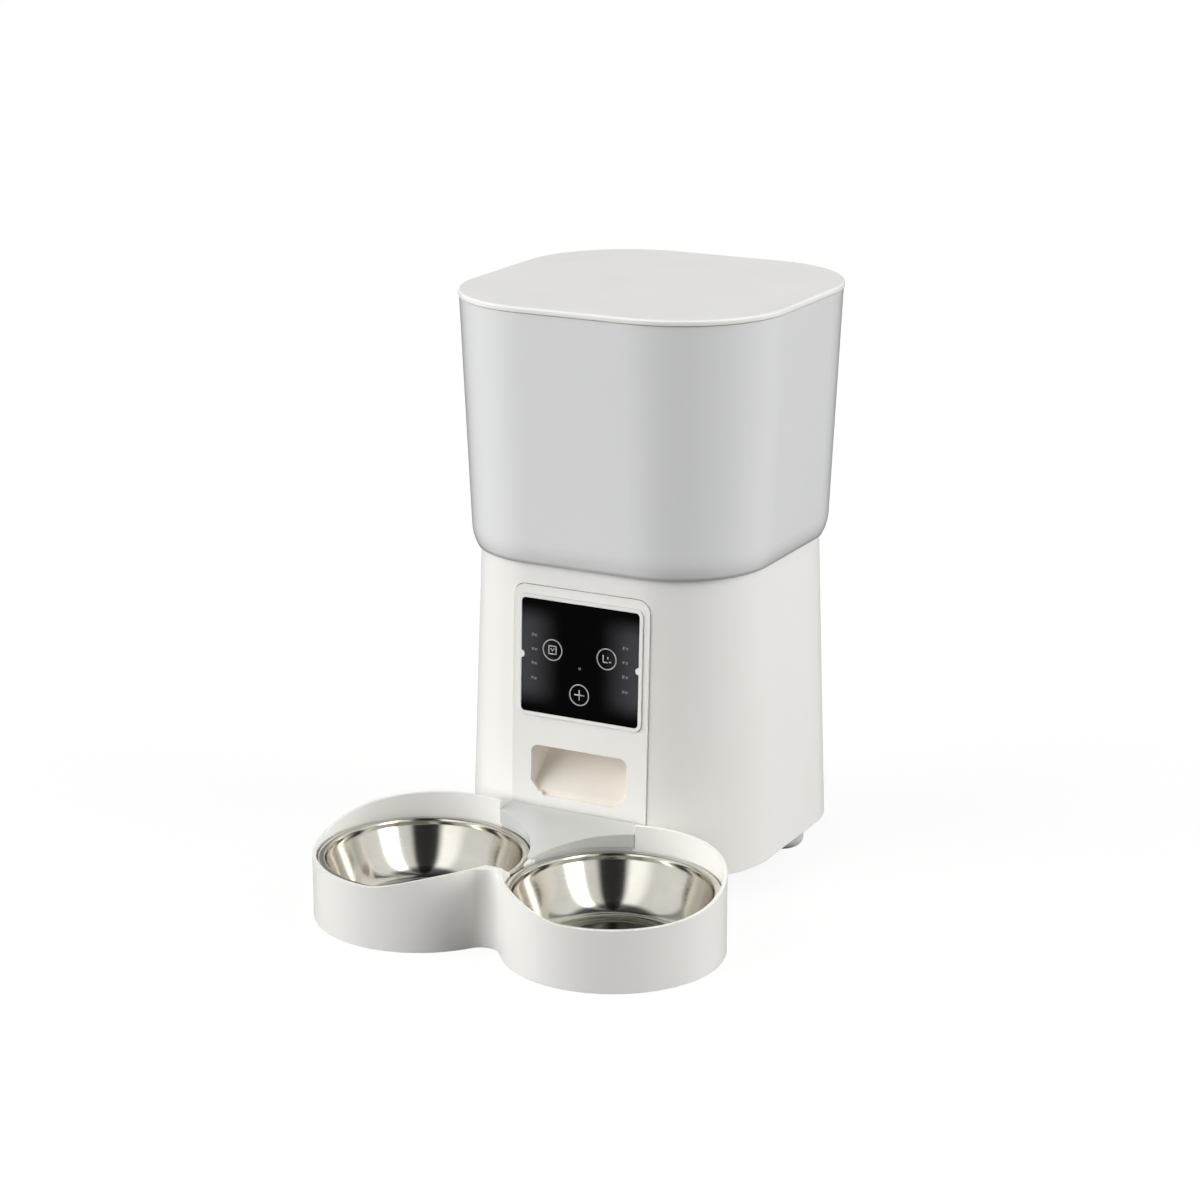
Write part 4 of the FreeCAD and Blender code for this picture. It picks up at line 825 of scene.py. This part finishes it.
@dataclass
class Studio:
    """Pale floor, soft light all round, and the camera."""

    spot: tuple[float, float, float] = (0.8613, -1.6390, 0.7238)
    aim: tuple[float, float, float] = (-0.0369, 0.0689, 0.1554)
    lens: float = 93.97
    sensor: float = 36.0
    floor_size: float = 60.0
    floor_drop: float = 0.2 * MM
    floor_tint: str = "#5E5E5D"
    floor_glow: float = 0.9
    fibre_mm: float = 3.0
    # Soft light on matt surfaces, round the horizon: degrees from the camera's side, level.
    soft_levels: tuple[tuple[float, float], ...] = (
        (-180, 0.6), (-116, 0.6), (-98, 4.9), (-50, 5.3), (-38, 0.1), (0, 0.0), (44, 0.1),
        (60, 6.6), (86, 5.8), (102, 0.6), (180, 0.6))
    # Soft boxes with dark gaps, which gloss and steel mirror: degrees, level.
    mirror_levels: tuple[tuple[float, float], ...] = (
        (-180, 0.3), (-150, 0.4), (-126, 0.85), (-120, 0.45), (-108, 0.3), (-100, 0.95),
        (-50, 0.95), (-38, 1.5), (-22, 1.6), (-14, 0.03), (14, 0.03), (20, 0.9), (34, 0.9),
        (38, 4.6), (54, 4.6), (58, 0.95), (100, 0.95), (108, 0.3), (120, 0.45), (126, 0.85),
        (150, 0.4), (180, 0.3))
    # Brightness with height: sine of the elevation, share.
    soft_heights: tuple[tuple[float, float], ...] = (
        (-1.0, 0.9), (0.0, 1.0), (0.3, 1.0), (0.6, 0.62), (0.85, 0.3), (1.0, 0.2))
    mirror_heights: tuple[tuple[float, float], ...] = (
        (-1.0, 0.5), (0.0, 0.6), (0.14, 1.0), (0.8, 1.0), (0.9, 0.12), (1.0, 0.05))

    def build(self) -> None:
        """Make the floor, the light and the camera."""
        self.make_floor()
        self.make_light()
        self.make_camera()
        bpy.context.scene.view_settings.view_transform = "Standard"

    def make_floor(self) -> None:
        """Lay a large floor that looks pale to the camera but throws little light back."""
        deselect()
        bpy.ops.mesh.primitive_plane_add(size=self.floor_size, location=(0, 0, -self.floor_drop))
        floor = bpy.context.object
        floor.name = "studio_floor"
        made, tree, main = shader("floor_paper")
        where = add_node(tree, "ShaderNodeTexCoord").outputs["Object"]
        fibres = noise(tree, where, self.fibre_mm)
        tree.links.new(spread(tree, fibres, 0.85, 0.95), main.inputs["Roughness"])
        main.inputs["Base Color"].default_value = linear(self.floor_tint)
        main.inputs["Specular IOR Level"].default_value = 0.0
        main.inputs["Emission Color"].default_value = (1, 1, 1, 1)
        seen = add_node(tree, "ShaderNodeLightPath").outputs["Is Camera Ray"]
        glow = add_node(tree, "ShaderNodeMath", {0: seen, 1: self.floor_glow},
                        operation="MULTIPLY")
        tree.links.new(glow.outputs[0], main.inputs["Emission Strength"])
        floor.data.materials.append(made)

    def ramp(self, tree: bpy.types.NodeTree, share: bpy.types.NodeSocket,
             stops: tuple[tuple[float, float], ...], low: float,
             high: float) -> bpy.types.NodeSocket:
        """Return a grey ramp through stops.

        Args:
            tree: The world's tree.
            share: Where on the ramp to look, from 0 to 1.
            stops: Places and their levels, in order.
            low: The place at the ramp's start.
            high: The place at the ramp's end.

        Returns:
            The level, as a colour.
        """
        node = add_node(tree, "ShaderNodeValToRGB", {0: share})
        points = node.color_ramp.elements
        while len(points) < len(stops):
            points.new(0.5)
        for point, (place, _) in zip(points, stops):
            point.position = (place - low) / (high - low)
        for point, (_, level) in zip(points, stops):
            point.color = (level, level, level, 1)
        return node.outputs[0]

    def make_light(self) -> None:
        """Wrap the object in soft light, and in soft boxes with dark gaps for what mirrors."""
        world = bpy.data.worlds.new("studio")
        bpy.context.scene.world = world
        world.use_nodes = True
        tree = world.node_tree
        tree.nodes.clear()
        way = add_node(tree, "ShaderNodeTexCoord").outputs["Generated"]
        side = Vector(self.spot) - Vector(self.aim)
        side.z = 0
        side.normalize()
        ahead = add_node(tree, "ShaderNodeVectorMath", {0: way, 1: side},
                         operation="DOT_PRODUCT").outputs["Value"]
        beside = add_node(tree, "ShaderNodeVectorMath", {0: way, 1: (-side.y, side.x, 0)},
                          operation="DOT_PRODUCT").outputs["Value"]
        turn = add_node(tree, "ShaderNodeMath", {0: beside, 1: ahead}, operation="ARCTAN2")
        share = add_node(tree, "ShaderNodeMapRange", {0: turn.outputs[0], 1: -math.pi,
                                                      2: math.pi, 3: 0.0, 4: 1.0}).outputs[0]
        height = add_node(tree, "ShaderNodeSeparateXYZ", {0: way}).outputs["Z"]
        lift = add_node(tree, "ShaderNodeMapRange", {0: height, 1: -1.0, 2: 1.0, 3: 0.0,
                                                     4: 1.0}).outputs[0]
        paths = add_node(tree, "ShaderNodeLightPath")
        lights = []
        for levels, heights in ((self.soft_levels, self.soft_heights),
                                (self.mirror_levels, self.mirror_heights)):
            rounded = self.ramp(tree, share, levels, -180, 180)
            raised = self.ramp(tree, lift, heights, -1, 1)
            lights.append(add_node(tree, "ShaderNodeMix", {0: 1.0, 6: rounded, 7: raised},
                                   data_type="RGBA", blend_type="MULTIPLY").outputs[2])
        light = blend(tree, paths.outputs["Is Glossy Ray"], *lights)
        boxes = add_node(tree, "ShaderNodeBackground", {0: light, 1: 1.0})
        plain = add_node(tree, "ShaderNodeBackground", {0: (1, 1, 1, 1), 1: 1.0})
        mixed = add_node(tree, "ShaderNodeMixShader", {0: paths.outputs["Is Camera Ray"],
                                                       1: boxes.outputs[0],
                                                       2: plain.outputs[0]})
        add_node(tree, "ShaderNodeOutputWorld", {0: mixed.outputs[0]})

    def make_camera(self) -> None:
        """Stand the camera at the front right, a little above the object."""
        data = bpy.data.cameras.new("camera")
        data.lens, data.sensor_width = self.lens, self.sensor
        camera = bpy.data.objects.new("camera", data)
        bpy.context.scene.collection.objects.link(camera)
        camera.location = self.spot
        aim = Vector(self.aim) - Vector(self.spot)
        camera.rotation_euler = aim.to_track_quat("-Z", "Y").to_euler()
        bpy.context.scene.camera = camera


def dress_frame() -> None:
    """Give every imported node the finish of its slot."""
    for name, node in sorted(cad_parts.items()):
        slot = node.data.materials[0].name.split(".")[0]
        made = Finish[slot].make()
        node.data.materials[0] = made
        LOG.info("%s: %s", name, made.name)


def main() -> None:
    """Build the studio and every piece."""
    logging.basicConfig(level=logging.INFO, format="%(message)s")
    deselect()
    Studio().build()
    dress_frame()
    SteelBowls().build()
    GuideLip().build()
    KeyPanel().build()
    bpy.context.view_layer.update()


if __name__ == "__main__":
    main()
